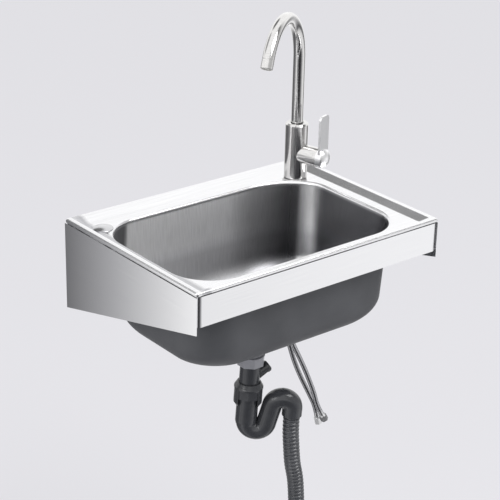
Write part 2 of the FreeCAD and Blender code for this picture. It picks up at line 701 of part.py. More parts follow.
def make_cartridge():
    """Fixed ceramic cartridge, its clamping nut, the turning rotor and the domed bonnet."""
    wide = S.cartridge / 2
    bottom = S.cartridge_in + 0.2
    fixed = turned("cartridge", [
        (0, bottom), (wide, bottom), (wide, S.hub_long), (S.lever_pin * 1.7, S.hub_long),
        (S.lever_pin * 1.7, S.pivot_in - S.lever_pin), (0, S.pivot_in - S.lever_pin)])
    part(place(fixed, HUB, HUB_TURN), "cartridge")
    seat = S.hub_long + S.fit_gap
    rotor_wide = S.lever_pin * 3.1
    rotor = new_body("cartridge_rotor")
    extrude(rotor, "Pad", circles(new_sketch(rotor, "XY_Plane", seat), [(0, 0, rotor_wide)]),
            S.lever_pin / 2)
    slot_half, slot_long = S.lever_pin / 2 + S.run_gap, rotor_wide / 2 - 1.6
    slot = [(-slot_half, -slot_long), (slot_half, -slot_long),
            (slot_half, slot_long), (-slot_half, slot_long)]
    extrude(rotor, "Pocket", outline(new_sketch(rotor, "XY_Plane", seat), slot),
            S.lever_pin / 2, back=True)
    part(place(rotor, HUB, HUB_TURN), "cartridge_rotor")
    nut = ring("cartridge_nut", S.cartridge, rotor_wide + S.run_gap * 2, seat,
               seat + S.lever_pin / 2)
    part(place(nut, HUB, HUB_TURN), "cartridge_nut")
    hub = S.hub / 2
    rim_in = wide + 0.6
    flat = (S.dome * S.dome - (S.bonnet_top - S.pivot_in) * (S.bonnet_top - S.pivot_in)).root()
    bonnet = turned("bonnet", [
        (rim_in, seat), (hub, seat), (hub, S.bonnet_rim), (flat, S.bonnet_top, S.dome, 1),
        (S.bonnet_hole / 2, S.bonnet_top), (S.bonnet_hole / 2, seat + S.lever_pin / 2 + 1),
        (rim_in, seat + S.lever_pin / 2 + 1)])
    part(place(bonnet, HUB, HUB_TURN), "bonnet")


def make_lever():
    """Lever: a domed cap that slides over the bonnet's ball, with an upright blade."""
    hub = S.hub / 2
    ball = S.dome + S.run_gap
    rim = S.pivot_in + (ball * ball - hub * hub).root()
    rise = S.lever_end - S.lever_rim
    crown = (hub * hub + rise * rise) / (rise * 2)
    body = new_body("lever")
    cap = [(0, rim), (hub, rim), (hub, S.lever_rim), (0, S.lever_end, crown, 1)]
    cap_sketch = new_sketch(body, "XZ_Plane")
    turn_feature(body, "Revolution", outline(cap_sketch, cap))
    half, bend = S.blade_wide / 2, S.blade_corner
    blade = [(-half, 0), (half, 0), (half, S.blade_up - bend),
             (half - bend, S.blade_up, bend, 1), (-half + bend, S.blade_up),
             (-half, S.blade_up - bend, bend, 1)]
    extrude(body, "Pad", outline(new_sketch(body, "XY_Plane", S.blade_in), blade), S.blade_thick)
    pin_end = S.lever_rim + 2
    pin_hole = [(0, pin_end), (S.lever_pin / 2 + 0.05, pin_end),
                (S.lever_pin / 2 + 0.05, S.pivot_in + ball - 1), (0, S.pivot_in + ball - 1)]
    turn_feature(body, "Groove", outline(new_sketch(body, "XZ_Plane"), [
        (0, S.pivot_in - ball), (ball, S.pivot_in, ball, 1), (0, S.pivot_in + ball, ball, 1)]))
    turn_feature(body, "Groove", outline(new_sketch(body, "XZ_Plane"), pin_hole))
    part(place(body, HUB, HUB_TURN), "lever")
    pin = turned("lever_pin", [(0, S.pivot_in - S.lever_pin / 2), (0, pin_end - 0.1),
                               (S.lever_pin / 2, pin_end - 0.1),
                               (S.lever_pin / 2, S.pivot_in - S.lever_pin / 2)])
    part(place(pin, HUB, HUB_TURN), "lever_pin")


def make_spout():
    """Gooseneck tube on a sealed stem that turns in the body, with an aerator."""
    base = S.tap_tall + 1.2
    ring_part = ring("swivel_ring", S.swivel_ring, S.stem + S.fit_gap * 4, S.tap_tall, base)
    part(place(ring_part, TAP), "swivel_ring")
    stem, inner, groove = S.stem / 2, S.stem / 2 - 3.6, S.stem / 2 - 1.9
    low, high = S.stem_seat + 14, S.stem_seat + 30
    neck = S.spout_bore / 2 - S.fit_gap / 2
    corners = [(inner, S.stem_seat + 0.4), (stem, S.stem_seat + 0.4)]
    for z in (low, high):
        corners += [(stem, z - 1.2), (groove, z - 1.2), (groove, z + 1.2), (stem, z + 1.2)]
    corners += [(stem, base), (neck, base), (neck, base + 18), (inner, base + 18)]
    part(place(turned("spout_stem", corners), TAP), "spout_stem")
    rings = []
    for i, z in enumerate((low, high)):
        o_ring = doc.addObject("Part::Torus", f"o_ring_{i}")
        bind(o_ring, "Radius1", groove + 1)
        o_ring.Radius2 = 0.95
        rings.append(place(o_ring, (0, 0, z)))
    part(place(group("stem_o_rings", rings), TAP), "stem_o_rings")
    tube = new_body("spout_tube")
    sweep, bend = S.spout_sweep, S.spout_bend
    end_x = bend - bend * sweep.cos()
    end_z = S.spout_rise + bend * sweep.sin()
    path = new_sketch(tube, "XZ_Plane")
    outline(path, [(0, base), (0, S.spout_rise), (end_x, end_z, bend, -1)], closed=False)
    for kind, wide in (("AdditivePipe", S.spout), ("SubtractivePipe", S.spout_bore)):
        profile = circles(new_sketch(tube, "XY_Plane", base), [(0, 0, wide)])
        pipe = tube.newObject(f"PartDesign::{kind}", f"spout_{kind}")
        pipe.Profile = profile
        pipe.Spine = (path, [])
        pipe.Mode = "Standard"
    part(place(tube, TAP, SPOUT_TURN), "spout_tube")
    return end_x, end_z


def make_aerator(end_x, end_z):
    """Aerator housing on the spout's end and its perforated insert."""
    down = FreeCAD.Rotation(V(0, 1, 0), number(S.spout_sweep))
    turn = SPOUT_TURN.multiply(down)
    head = heading(S.spout_turn)
    at = (TAP_X + end_x * head.x, end_x * head.y - S.tap_back,
          S.rim_height - S.deck_drop + end_z)
    wide, bore = S.spout / 2, S.spout_bore / 2 - 0.3
    long = S.aerator_long
    housing = turned("aerator_housing", [
        (bore, -4), (S.spout_bore / 2 - 0.05, -4), (S.spout_bore / 2 - 0.05, 0), (wide - 0.5, 0),
        (wide - 0.5, 0.8), (wide, 1.2), (wide, long - 0.8), (wide - 0.8, long), (bore, long)])
    part(place(housing, at, turn), "aerator_housing")
    insert = new_body("aerator_insert")
    disc = circles(new_sketch(insert, "XY_Plane", long - 6), [(0, 0, bore * 2 - 0.1)])
    extrude(insert, "Pad", disc, 4.5)
    holes = [(0, 0, 1.6)]
    for radius, count in ((2.8, 6), (5.4, 12), (8, 18)):
        for i in range(count):
            angle = 2 * math.pi * i / count
            holes.append((radius * math.cos(angle), radius * math.sin(angle), 1.6))
    extrude(insert, "Pocket", circles(new_sketch(insert, "XY_Plane", long - 6), holes), 4.5, True)
    part(place(insert, at, turn), "aerator_insert")


def make_tap_mounting():
    """Threaded shank through the deck, with its washers and nut."""
    wide, bore = S.shank / 2, S.shank_bore / 2
    shank = turned("mounting_shank", [(bore, -S.shank_long), (wide, -S.shank_long),
                                      (wide, S.shank_in), (bore, S.shank_in)])
    part(place(shank, TAP), "mounting_shank")
    hole = S.shank + S.fit_gap * 4
    under = -S.metal
    rubber = ring("rubber_washer", S.washer, hole, under - S.washer_thick, under)
    part(place(rubber, TAP), "rubber_washer")
    steel_top = under - S.washer_thick
    steel = ring("steel_washer", S.washer, hole, steel_top - 2, steel_top)
    part(place(steel, TAP), "steel_washer")
    corners = S.nut_flats / math.cos(math.radians(30))
    nut = prism_nut("mounting_nut", 6, corners, S.shank + S.fit_gap * 2,
                    steel_top - 2 - S.nut_tall, S.nut_tall)
    part(place(nut, TAP), "mounting_nut")


# ---------------------------------------------------------------- cords
class Route:
    """A cord's centre line: straight runs joined by tangent arcs."""

    def __init__(self, name, points):
        self.name = name
        self.pieces = []
        self.radii = []
        spots = [V(*p) for p in points]
        start = spots[0]
        for before, here, after in zip(spots, spots[1:], spots[2:]):
            way_in, way_out = (here - before).normalize(), (after - here).normalize()
            turn = way_in.getAngle(way_out)
            trim = 0.45 * min((here - before).Length, (after - here).Length)
            radius = trim / math.tan(turn / 2)
            first, last = here - way_in * trim, here + way_out * trim
            axis = way_in.cross(way_out).normalize()
            centre = first + axis.cross(way_in) * radius
            self.pieces.append(("run", start, first))
            self.pieces.append(("arc", first, last, centre, axis, radius, turn))
            self.radii.append(radius)
            start = last
        self.pieces.append(("run", start, spots[-1]))

    def wire(self):
        edges = []
        for kind, first, last, *rest in self.pieces:
            if kind == "run":
                edges.append(Part.LineSegment(first, last).toShape())
                continue
            centre, axis, radius, turn = rest
            half = FreeCAD.Rotation(axis, math.degrees(turn / 2)).multVec(first - centre)
            edges.append(Part.Arc(first, centre + half, last).toShape())
        return Part.Wire(edges)

    def length(self):
        return sum(self.piece_length(p) for p in self.pieces)

    def piece_length(self, piece):
        if piece[0] == "run":
            return (piece[2] - piece[1]).Length
        return piece[5] * piece[6]

    def at(self, distance):
        """Point and direction at a distance along the route."""
        for piece in self.pieces:
            long = self.piece_length(piece)
            if distance <= long or piece is self.pieces[-1]:
                break
            distance -= long
        if piece[0] == "run":
            way = (piece[2] - piece[1]).normalize()
            return piece[1] + way * distance, way
        _, first, _, centre, axis, radius, _ = piece
        spin = FreeCAD.Rotation(axis, math.degrees(distance / radius))
        arm = spin.multVec(first - centre)
        return centre + arm, axis.cross(arm).normalize()

    def report(self, solid, section):
        """Print the arc radii, and compare the solid with its section times its length."""
        radii = ", ".join(f"{r:.0f}" for r in self.radii)
        share = solid.Volume / (section * self.length())
        print(f"{self.name}: length {self.length():.1f}, radii {radii}, volume share {share:.4f}")


def tube_along(route, wide, bore):
    """A plain tube along a route."""
    start, way = route.at(0)
    solids = []
    for across in (wide, bore):
        profile = Part.Wire(Part.Circle(start, way, across / 2).toShape())
        solids.append(route.wire().makePipeShell([profile], True, False))
    tube = solids[0].cut(solids[1])
    route.report(tube, math.pi * (wide * wide - bore * bore) / 4)
    return tube


def ribbed_along(route, wide, bore, pitch, deep):
    """A corrugated tube: each rib is a ruled loft through four circles."""
    steady = V(1, 0, 0)

    def circle(distance, across):
        spot, way = route.at(distance)
        across_way = (steady - way * steady.dot(way)).normalize()
        turn = FreeCAD.Rotation(across_way, way.cross(across_way), way, "ZXY")
        hoop = Part.Circle(V(0, 0, 0), UP, across / 2).toShape()
        hoop.Placement = FreeCAD.Placement(spot, turn)
        return Part.Wire(hoop)

    count = int(route.length() // pitch)
    step = route.length() / count
    valley = wide - 2 * deep
    hoops, holes = [circle(0, valley)], [circle(0, bore)]
    for i in range(count):
        for share, across in ((0.18, valley), (0.36, wide), (0.64, wide), (0.82, valley)):
            hoops.append(circle((i + share) * step, across))
        holes.append(circle((i + 1) * step, bore))
    hoops.append(circle(route.length(), valley))
    tube = Part.makeLoft(hoops, True, True).cut(Part.makeLoft(holes, True, True))
    print(f"{route.name}: {count} ribs, step {step:.3f}")
    mean = wide - deep * 1.1
    route.report(tube, math.pi * (mean * mean - bore * bore) / 4)
    return tube


# Hand-laid routes, below the rim. They hang free, so their points stay as chosen.
HOT_ROUTE = [(226.5, -66.9, -79), (226.5, -66.9, -135), (224.4, -62.5, -235),
             (222.8, -57, -345.4), (241.6, -58, -418.7), (261.1, -64, -481.4),
             (296.8, -74, -559.1), (307.5, -77, -583.3), (311.2, -79, -601.4)]
COLD_ROUTE = [(235.5, -74.1, -79), (235.5, -74.1, -135), (234.2, -74.2, -235),
              (217.1, -74, -320), (225.1, -75, -383.2), (262.6, -81, -460.7),
              (279.5, -89, -508.3), (289.8, -94, -540.2), (295.1, -97, -566.6),
              (304.9, -99, -586.6)]
DRAIN_ROUTE_BELOW = [(0.5, 0, -33), (1.6, 0.4, -80), (6.8, 1.2, -125), (16.8, 1.8, -161),
                     (21.3, 2.4, -199), (24.8, 3, -245), (26.3, 3.4, -295), (25.3, 3, -344),
                     (23.3, 2.6, -391), (21.8, 2, -430)]


def make_supply():
    """Rigid tails in the shank, braided hoses, crimped ferrules and swivel nuts."""
    apart = heading(S.hose_apart_turn)
    for label, side, points in (("hot", -1, HOT_ROUTE), ("cold", 1, COLD_ROUTE)):
        shift = S.hose_apart / 2 * side
        at = (TAP_X + shift * apart.x, shift * apart.y - S.tap_back,
              S.rim_height - S.deck_drop)
        inner = S.hose_bore / 2
        wide = S.ferrule / 2 - 0.1
        ceiling = S.hub_up - S.hub / 2
        tail = turned(f"{label}_tail", [(inner, -S.tail_end), (wide, -S.tail_end),
                                        (wide, ceiling), (inner, ceiling)])
        part(place(tail, at), f"{label}_tail")
        route = Route(f"{label}_hose", points)
        tube = tube_along(route, number(S.hose), number(S.hose_bore))
        part(shaped(f"{label}_hose", tube, RIM), f"{label}_hose")
        spot, way = route.at(route.length())
        turn = FreeCAD.Rotation(UP, way)
        end = (spot.x, spot.y, spot.z + S.rim_height)
        ferrule = ring(f"{label}_ferrule", S.ferrule, S.hose_bore, 0, S.ferrule_long)
        part(place(ferrule, end, turn), f"{label}_ferrule")
        start = S.ferrule_long
        corners = S.supply_nut / math.cos(math.radians(30))
        nut = new_body(f"{label}_hose_nut")
        extrude(nut, "Pad", outline(new_sketch(nut, "XY_Plane", start), polygon(6, corners)),
                S.supply_nut_long)
        bore = circles(new_sketch(nut, "XY_Plane", start + 2), [(0, 0, S.supply_nut - 3)])
        extrude(nut, "Pocket", bore, S.supply_nut_long, back=True)
        mouth = circles(new_sketch(nut, "XY_Plane", start), [(0, 0, S.hose_bore)])
        extrude(nut, "Pocket", mouth, 2, back=True)
        part(place(nut, end, turn), f"{label}_hose_nut")


# ---------------------------------------------------------------- drain
def make_strainer():
    """Strainer seat pressed in the floor hole, and the basket that lifts out of it."""
    floor = -S.bowl_depth + S.metal
    metal = S.strainer_metal
    flange, cup = S.strainer_flange / 2, S.drain_hole / 2 - 0.7
    bottom = floor - S.strainer_deep
    seat = turned("strainer_seat", [
        (S.cover_stud / 2 + 0.2, bottom), (cup, bottom), (cup, floor), (flange, floor),
        (flange, floor + metal * 0.6), (flange - 1.5, floor + metal), (cup - metal, floor + metal),
        (cup - metal, bottom + metal), (S.cover_stud / 2 + 0.2, bottom + metal)])
    holes = []
    for radius, count in ((15, 8), (25, 14), (34, 20)):
        for i in range(count):
            angle = 2 * math.pi * i / count
            holes.append((radius * math.cos(angle), radius * math.sin(angle), 6))
    extrude(seat, "Pocket", circles(new_sketch(seat, "XY_Plane", bottom), holes), metal, True)
    part(place(seat, DRAIN), "strainer_seat")
    rim = cup - metal - S.run_gap
    low = bottom + metal + 5
    basket = new_body("strainer_basket")
    lip = floor + metal + 0.1
    wall = [(0, low), (rim - 4, low), (rim, floor - 3), (rim, lip), (rim + 3, lip),
            (rim + 3, lip + 0.8), (rim - 0.8, lip + 0.8), (rim - 0.8, floor - 2.8),
            (rim - 4.6, low + 0.8), (0, low + 0.8)]
    turn_feature(basket, "Revolution", outline(new_sketch(basket, "XZ_Plane"), wall))
    drops = []
    for radius, count in ((14, 10), (22, 16), (30, 22)):
        for i in range(count):
            angle = 2 * math.pi * i / count
            drops.append((radius * math.cos(angle), radius * math.sin(angle), 3.4))
    extrude(basket, "Pocket", circles(new_sketch(basket, "XY_Plane", low), drops), 0.8, True)
    part(place(basket, DRAIN), "strainer_basket")
    knob = turned("basket_knob", [(0, low + 0.8), (3, low + 0.8), (3, low + 10), (7, low + 13),
                                  (7, low + 16), (5, low + 18), (0, low + 18)])
    part(place(knob, DRAIN), "basket_knob")
    screw = turned("clamp_screw", [
        (0, bottom - 24), (S.cover_stud / 2, bottom - 24), (S.cover_stud / 2, bottom + metal),
        (6, bottom + metal), (5, bottom + metal + 2.6), (0, bottom + metal + 3)])
    part(place(screw, DRAIN), "clamp_screw")
    return bottom


def make_drain_cup(seat_bottom):
    """Gasket, bottle-shaped cup with a spider, lock washer and octagonal lock nut."""
    under = -S.bowl_depth
    wide = S.strainer_flange / 2 - 1
    gasket_low = under - S.gasket_thick
    gasket = ring("floor_gasket", wide * 2, S.drain_hole + 1, gasket_low, under)
    part(place(gasket, DRAIN), "floor_gasket")
    outer, wall = S.drain_cup / 2, S.cup_wall
    straight = under - S.cup_deep
    cone = straight - S.cup_cone
    neck = S.neck / 2
    end = cone - S.neck_long
    shell = turned("cup_shell", [
        (outer - wall, gasket_low), (wide, gasket_low), (wide, gasket_low - 3),
        (outer, gasket_low - 3), (outer, straight), (neck + 1, cone), (neck, cone), (neck, end),
        (neck - wall * 1.6, end), (neck - wall * 1.6, cone + 1),
        (outer - wall, straight + 0.5)])
    boss_top = seat_bottom - 1
    boss = ring("cup_boss", 14, S.cover_stud + S.fit_gap, seat_bottom - 24, boss_top)
    arms = new_body("cup_arms")
    reach = outer - wall / 2
    for angle in (90, 210, 330):
        way = heading(angle)
        side = V(-way.y, way.x, 0) * 1.5
        near, far = 5.5, number(reach)
        spots = [way * near - side, way * far - side, way * far + side, way * near + side]
        extrude(arms, "Pad", outline(new_sketch(arms, "XY_Plane", seat_bottom - 18),
                                     [(p.x, p.y) for p in spots]), 12)
    part(place(fuse("drain_cup", [shell, boss, arms]), DRAIN), "drain_cup")
    top = end + S.lock_nut_up
    washer = ring("lock_washer", S.lock_washer, S.neck + S.fit_gap * 2, top, top + 1.6)
    part(place(washer, DRAIN), "lock_washer")
    nut = prism_nut("lock_nut", 8, S.lock_nut, S.tail + 1.8, top - S.lock_nut_tall,
                    S.lock_nut_tall)
    lip = 3
    thread = circles(new_sketch(nut, "XY_Plane", top - S.lock_nut_tall + lip),
                     [(0, 0, S.neck + S.fit_gap * 2)])
    extrude(nut, "Pocket", thread, S.lock_nut_tall, back=True)
    part(place(nut, DRAIN), "lock_nut")
    seal = ring("neck_seal", S.neck, S.tail_bore, end - 1.2, end)
    part(place(seal, DRAIN), "neck_seal")


def make_tailpiece():
    """Tailpiece with an upward branch, its screw cap, and the slip joint's seal and nut."""
    wide, bore = S.tail / 2, S.tail_bore / 2
    pipe = turned("tail_pipe", [
        (bore, -S.tail_long), (wide, -S.tail_long), (wide, -1.4),
        (S.neck / 2 - 0.2, -1.4), (S.neck / 2 - 0.2, 0), (bore, 0)])
    up = FreeCAD.Rotation(V(0, 1, 0), 90 - number(S.branch_up))
    lean = FreeCAD.Rotation(UP, number(S.branch_turn)).multiply(up)
    root = (0, 0, -S.branch_down)
    end = S.branch_long - 4
    arm = cylinder("branch_arm", S.branch, end, root, lean)
    arm_bore = cylinder("branch_bore", S.branch - 5, S.branch_long, root, lean)
    pipe_bore = cylinder("tail_clear", S.tail_bore, S.tail_long * 2, (0, 0, -S.tail_long))
    hollow = cut("tail_open", fuse("tail_solid", [pipe, arm]), pipe_bore)
    tail = cut("tailpiece", hollow, arm_bore)
    part(hang(tail), "tailpiece")
    inner, outer, long = S.branch / 2 + S.fit_gap, S.branch_cap / 2, S.branch_long
    cap = turned("branch_cap", [
        (inner, long - S.branch_cap_long), (outer, long - S.branch_cap_long),
        (outer, long - 3), (outer - 3, long), (0, long), (0, end + 0.1), (inner, end + 0.1)])
    part(hang(cap, -S.branch_down, lean), "branch_cap")
    make_slip_joint()


def make_slip_joint():
    """Cone seal squeezed by a large faceted slip nut with two ears."""
    top, grip_low = -S.slip_down, -S.slip_grip_end
    socket = S.trap_leg / 2 + 1.7
    tail = S.tail / 2
    seal_top = top - 6.2
    seal = turned("slip_seal", [
        (tail + 0.1, seal_top - 10), (socket - 0.2, seal_top - 10), (socket - 0.2, seal_top - 6),
        (tail + 1.6, seal_top), (tail + 0.1, seal_top)])
    part(hang(seal), "slip_seal")
    ring_wide, ring_low, inner = S.slip_ring / 2, -S.slip_ring_end, socket + S.fit_gap
    head = turned("slip_head", [
        (tail + 0.4, seal_top), (tail + 0.4, top), (tail + 3.2, top), (ring_wide - 1, top - 7.5),
        (ring_wide, top - 9.5), (ring_wide, ring_low), (inner, ring_low), (inner, seal_top)])
    grip = prism_nut("slip_grip", 10, S.slip_grip, inner * 2, grip_low, ring_low - grip_low)
    ear, bottom = S.slip_ear / 2, -S.slip_end
    skirt = turned("slip_skirt", [(inner, bottom), (ear - 3.6, bottom), (ear, bottom + 6),
                                  (ear, ring_low), (inner, ring_low)])
    gap = doc.addObject("Part::Box", "ear_gap")
    bind(gap, "Length", S.slip_ear_gap)
    bind(gap, "Width", S.slip_ear * 1.5)
    bind(gap, "Height", ring_low - bottom)
    place(gap, (-S.slip_ear_gap / 2, -S.slip_ear * 0.75, bottom))
    ears = cut("slip_ears", skirt, gap)
    part(hang(fuse("slip_nut", [head, grip, ears])), "slip_nut")


def make_trap():
    """S-trap: socket leg, two tight bends with a leaning limb, and the hose socket."""
    bend, lean = number(S.trap_bend), math.radians(number(S.trap_lean))
    low = -number(S.trap_down)
    limb = number(S.trap_limb)
    first = V(bend, 0, low)
    out, drop = bend * math.cos(lean), bend * math.sin(lean)
    leave = first + V(out, 0, -drop)
    way = V(math.sin(lean), 0, math.cos(lean))
    arrive = leave + way * limb
    second = arrive + V(out, 0, -drop)
    last = second + V(bend, 0, 0)
    outlet = last - V(0, 0, number(S.trap_outlet))

    def half_way(centre, a, b):
        middle = (a - centre) + (b - centre)
        return centre + middle.normalize() * bend

    def path(rise, fall):
        start = V(0, 0, low) + V(0, 0, rise)
        bottom = first - V(0, 0, bend)
        crest = second + V(0, 0, bend)
        edges = [Part.LineSegment(start, V(0, 0, low)),
                 Part.Arc(V(0, 0, low), half_way(first, V(0, 0, low), bottom), bottom),
                 Part.Arc(bottom, half_way(first, bottom, leave), leave),
                 Part.LineSegment(leave, arrive),
                 Part.Arc(arrive, half_way(second, arrive, crest), crest),
                 Part.Arc(crest, half_way(second, crest, last), last),
                 Part.LineSegment(last, outlet - V(0, 0, fall))]
        return Part.Wire([e.toShape() for e in edges]), start

    top = -number(S.slip_down) - 16.4
    leg_top = top - low

    def bent(wide, rise, fall):
        wire, start = path(rise, fall)
        profile = Part.Wire(Part.Circle(start, UP, wide / 2).toShape())
        return wire.makePipeShell([profile], True, False)

    leg = number(S.trap_leg) / 2
    socket = leg + 1.6
    thread_low = -number(S.slip_grip_end) - 2
    solid = bent(number(S.trap), leg_top - 6, 0)
    solid = solid.fuse(Part.makeCylinder(leg, thread_low - low, V(0, 0, low)))
    solid = solid.fuse(Part.makeCylinder(socket, top - thread_low, V(0, 0, thread_low)))
    solid = solid.fuse(Part.makeCone(leg - 1.4, leg, 6, V(0, 0, low - 6)))
    hose_end = outlet + V(0, 0, number(S.hose_socket))
    web = 4
    solid = solid.cut(bent(number(S.trap_bore), leg_top, -number(S.hose_socket) - web))
    seat = -number(S.tail_long) - 6
    solid = solid.cut(Part.makeCylinder(number(S.tail) / 2 + 0.3, top - seat, V(0, 0, seat)))
    solid = solid.cut(Part.makeCylinder(number(S.drain_hose_bore) / 2,
                                        number(S.hose_socket) + web + 6, outlet))
    solid = solid.cut(Part.makeCylinder(number(S.drain_hose) / 2 + 0.3, number(S.hose_socket),
                                        outlet))
    trap = hang(shaped("trap_bend", solid.removeSplitter()))
    part(trap, "trap_bend")
    return trap.Placement.multVec(hose_end), trap.Placement.Rotation.multVec(V(0, 0, -1))


def make_drain_hose(start, way):
    """Corrugated drain hose from the trap's socket, with a soft cuff on its free end."""
    points = [tuple(start)]
    straight = number(S.drain_hose)
    for i, (x, y, z) in enumerate(DRAIN_ROUTE_BELOW):
        spot = start + way * straight if i == 0 else start + V(x, y, z)
        points.append(tuple(spot))
    route = Route("drain_hose", points)
    tube = ribbed_along(route, number(S.drain_hose), number(S.drain_hose_bore),
                        number(S.rib_pitch), number(S.rib_deep))
    part(shaped("drain_hose", tube), "drain_hose")
    spot, end_way = route.at(route.length())
    wide, bore = S.cuff / 2, S.drain_hose_bore / 2
    cuff = turned("hose_cuff", [
        (bore, 0), (S.drain_hose / 2 + 1.5, 0), (wide, 5), (wide, S.cuff_long - 2),
        (wide - 2, S.cuff_long), (bore, S.cuff_long)])
    part(place(cuff, tuple(spot), FreeCAD.Rotation(UP, end_way)), "hose_cuff")
    print("drain hose points", [tuple(round(c, 2) for c in p) for p in points])


# ---------------------------------------------------------------- build, check, write
make_basin()
make_coat()
make_side_plate("left_side_plate", -1)
make_side_plate("right_side_plate", 1)
make_apron()
make_rear_rail()
make_clips()
make_cover()
make_tap_body()
make_cartridge()
make_lever()
make_aerator(*make_spout())
make_tap_mounting()
make_supply()
make_drain_cup(make_strainer())
make_tailpiece()
make_drain_hose(*make_trap())
doc.recompute()

bad = [o.Label for o in doc.Objects if "Invalid" in o.State or "Error" in o.State]
bad += [p.Label for p in PARTS if p.Shape.isNull() or not p.Shape.isValid()]
if bad:
    raise SystemExit(f"failed: {sorted(set(bad))}")
os.makedirs("parts", exist_ok=True)
for piece in PARTS:
    print(f"{piece.Label}: {len(piece.Shape.Solids)} solid, {piece.Shape.Volume:.0f} mm3")
    piece.Shape.exportStep(f"parts/{piece.Label}.step")
print(len(PARTS), "sub-parts")
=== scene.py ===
import math

import bpy
import numpy as np
from mathutils import Matrix


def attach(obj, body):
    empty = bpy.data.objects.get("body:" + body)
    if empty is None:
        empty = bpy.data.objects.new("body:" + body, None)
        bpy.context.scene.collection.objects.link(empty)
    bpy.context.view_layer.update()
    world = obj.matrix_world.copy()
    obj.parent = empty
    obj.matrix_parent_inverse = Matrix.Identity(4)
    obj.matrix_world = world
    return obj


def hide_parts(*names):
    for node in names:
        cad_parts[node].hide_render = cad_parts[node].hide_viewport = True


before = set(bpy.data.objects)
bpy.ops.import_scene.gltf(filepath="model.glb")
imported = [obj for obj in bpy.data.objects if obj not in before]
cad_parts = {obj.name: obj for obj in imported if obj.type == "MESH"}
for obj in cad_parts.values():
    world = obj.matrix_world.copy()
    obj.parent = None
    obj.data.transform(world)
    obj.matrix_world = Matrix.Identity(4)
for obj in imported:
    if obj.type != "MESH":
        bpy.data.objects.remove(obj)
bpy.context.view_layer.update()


# Camera. It stands about 3.4 m from the sink with a long lens, to the left of the bowl and
# above the rim, where the rim's corners and the bracket's upright edges put it.
SENSOR_MM, FOCAL_PX, PHOTO_PX = 36.0, 1608.8, 500
eye = (-1.852674, -2.483148, 1.314136)
axes = ((0.78100507, -0.62417209, 0.02098288), (0.23545723, 0.32540577, 0.91578981),
        (-0.57843839, -0.71029592, 0.40110939))
lens = bpy.data.cameras.new("photo_camera")
lens.sensor_width = SENSOR_MM
lens.lens = SENSOR_MM * FOCAL_PX / PHOTO_PX
camera = bpy.data.objects.new("photo_camera", lens)
bpy.context.scene.collection.objects.link(camera)
camera.matrix_world = Matrix([[axes[0][i], axes[1][i], axes[2][i], eye[i]] for i in range(3)]
                             + [[0, 0, 0, 1]])
bpy.context.scene.camera = camera


# Floor, backdrop and lamps. A pale studio: a floor below the hose's end, a pale surround with
# dark gaps that steel can mirror, one large soft lamp over the sink's front and a weaker one
# on its left.
def hex_linear(code):
    """An sRGB hex colour as linear RGBA: the sRGB curve undone channel by channel."""
    channels = np.array([int(code[i:i + 2], 16) for i in (0, 2, 4)]) / 255
    linear = np.where(channels <= 0.04045, channels / 12.92, ((channels + 0.055) / 1.055) ** 2.4)
    return (*linear.tolist(), 1.0)


def add(tree, kind, inputs=(), stops=(), **settings):
    """Add a shader node, set its properties, and set or link its inputs by name or number. A
    colour ramp also gets its stops, each a place from 0 to 1 and a hex colour."""
    made = tree.nodes.new("ShaderNode" + kind)
    for name, value in settings.items():
        setattr(made, name, value)
    for name, value in dict(inputs).items():
        if isinstance(value, bpy.types.NodeSocket):
            tree.links.new(value, made.inputs[name])
        else:
            made.inputs[name].default_value = value
    if stops:
        knots = made.color_ramp.elements
        while len(knots) < len(stops):
            knots.new(0.5)
        for knot, (place, code) in zip(knots, stops):
            knot.position = place
            knot.color = hex_linear(code)
    return made


def new_material(name):
    """An empty node material, its tree and its Principled shader."""
    material = bpy.data.materials.new(name)
    material.use_nodes = True
    return material, material.node_tree, material.node_tree.nodes["Principled BSDF"]


floor_material, tree, shader = new_material("pale_floor")
shader.inputs["Base Color"].default_value = hex_linear("EDECEF")
shader.inputs["Roughness"].default_value = 0.9
# The camera sees three parts of the floor's own pale colour and one part of its lit face,
# which carries the shadow.
own = add(tree, "Emission", {"Color": hex_linear("E9E8EC")})
seen = add(tree, "LightPath").outputs["Is Camera Ray"]
share = add(tree, "Math", {0: seen, 1: 0.75}, operation="MULTIPLY")
both = add(tree, "MixShader", {0: share.outputs[0], 1: shader.outputs[0], 2: own.outputs[0]})
tree.links.new(both.outputs[0], tree.nodes["Material Output"].inputs["Surface"])


def stage_sheet(name, corners, material):
    """One flat sheet of the studio."""
    mesh = bpy.data.meshes.new(name)
    mesh.from_pydata(corners, [], [(0, 1, 2, 3)])
    mesh.materials.append(material)
    made = bpy.data.objects.new(name, mesh)
    bpy.context.scene.collection.objects.link(made)
    return made


FLOOR_Z, REACH = -0.86, 6
floor = stage_sheet("floor", [(-REACH, -REACH, FLOOR_Z), (REACH, -REACH, FLOOR_Z),
                              (REACH, REACH, FLOOR_Z), (-REACH, REACH, FLOOR_Z)],
                    floor_material)
floor.visible_glossy = False

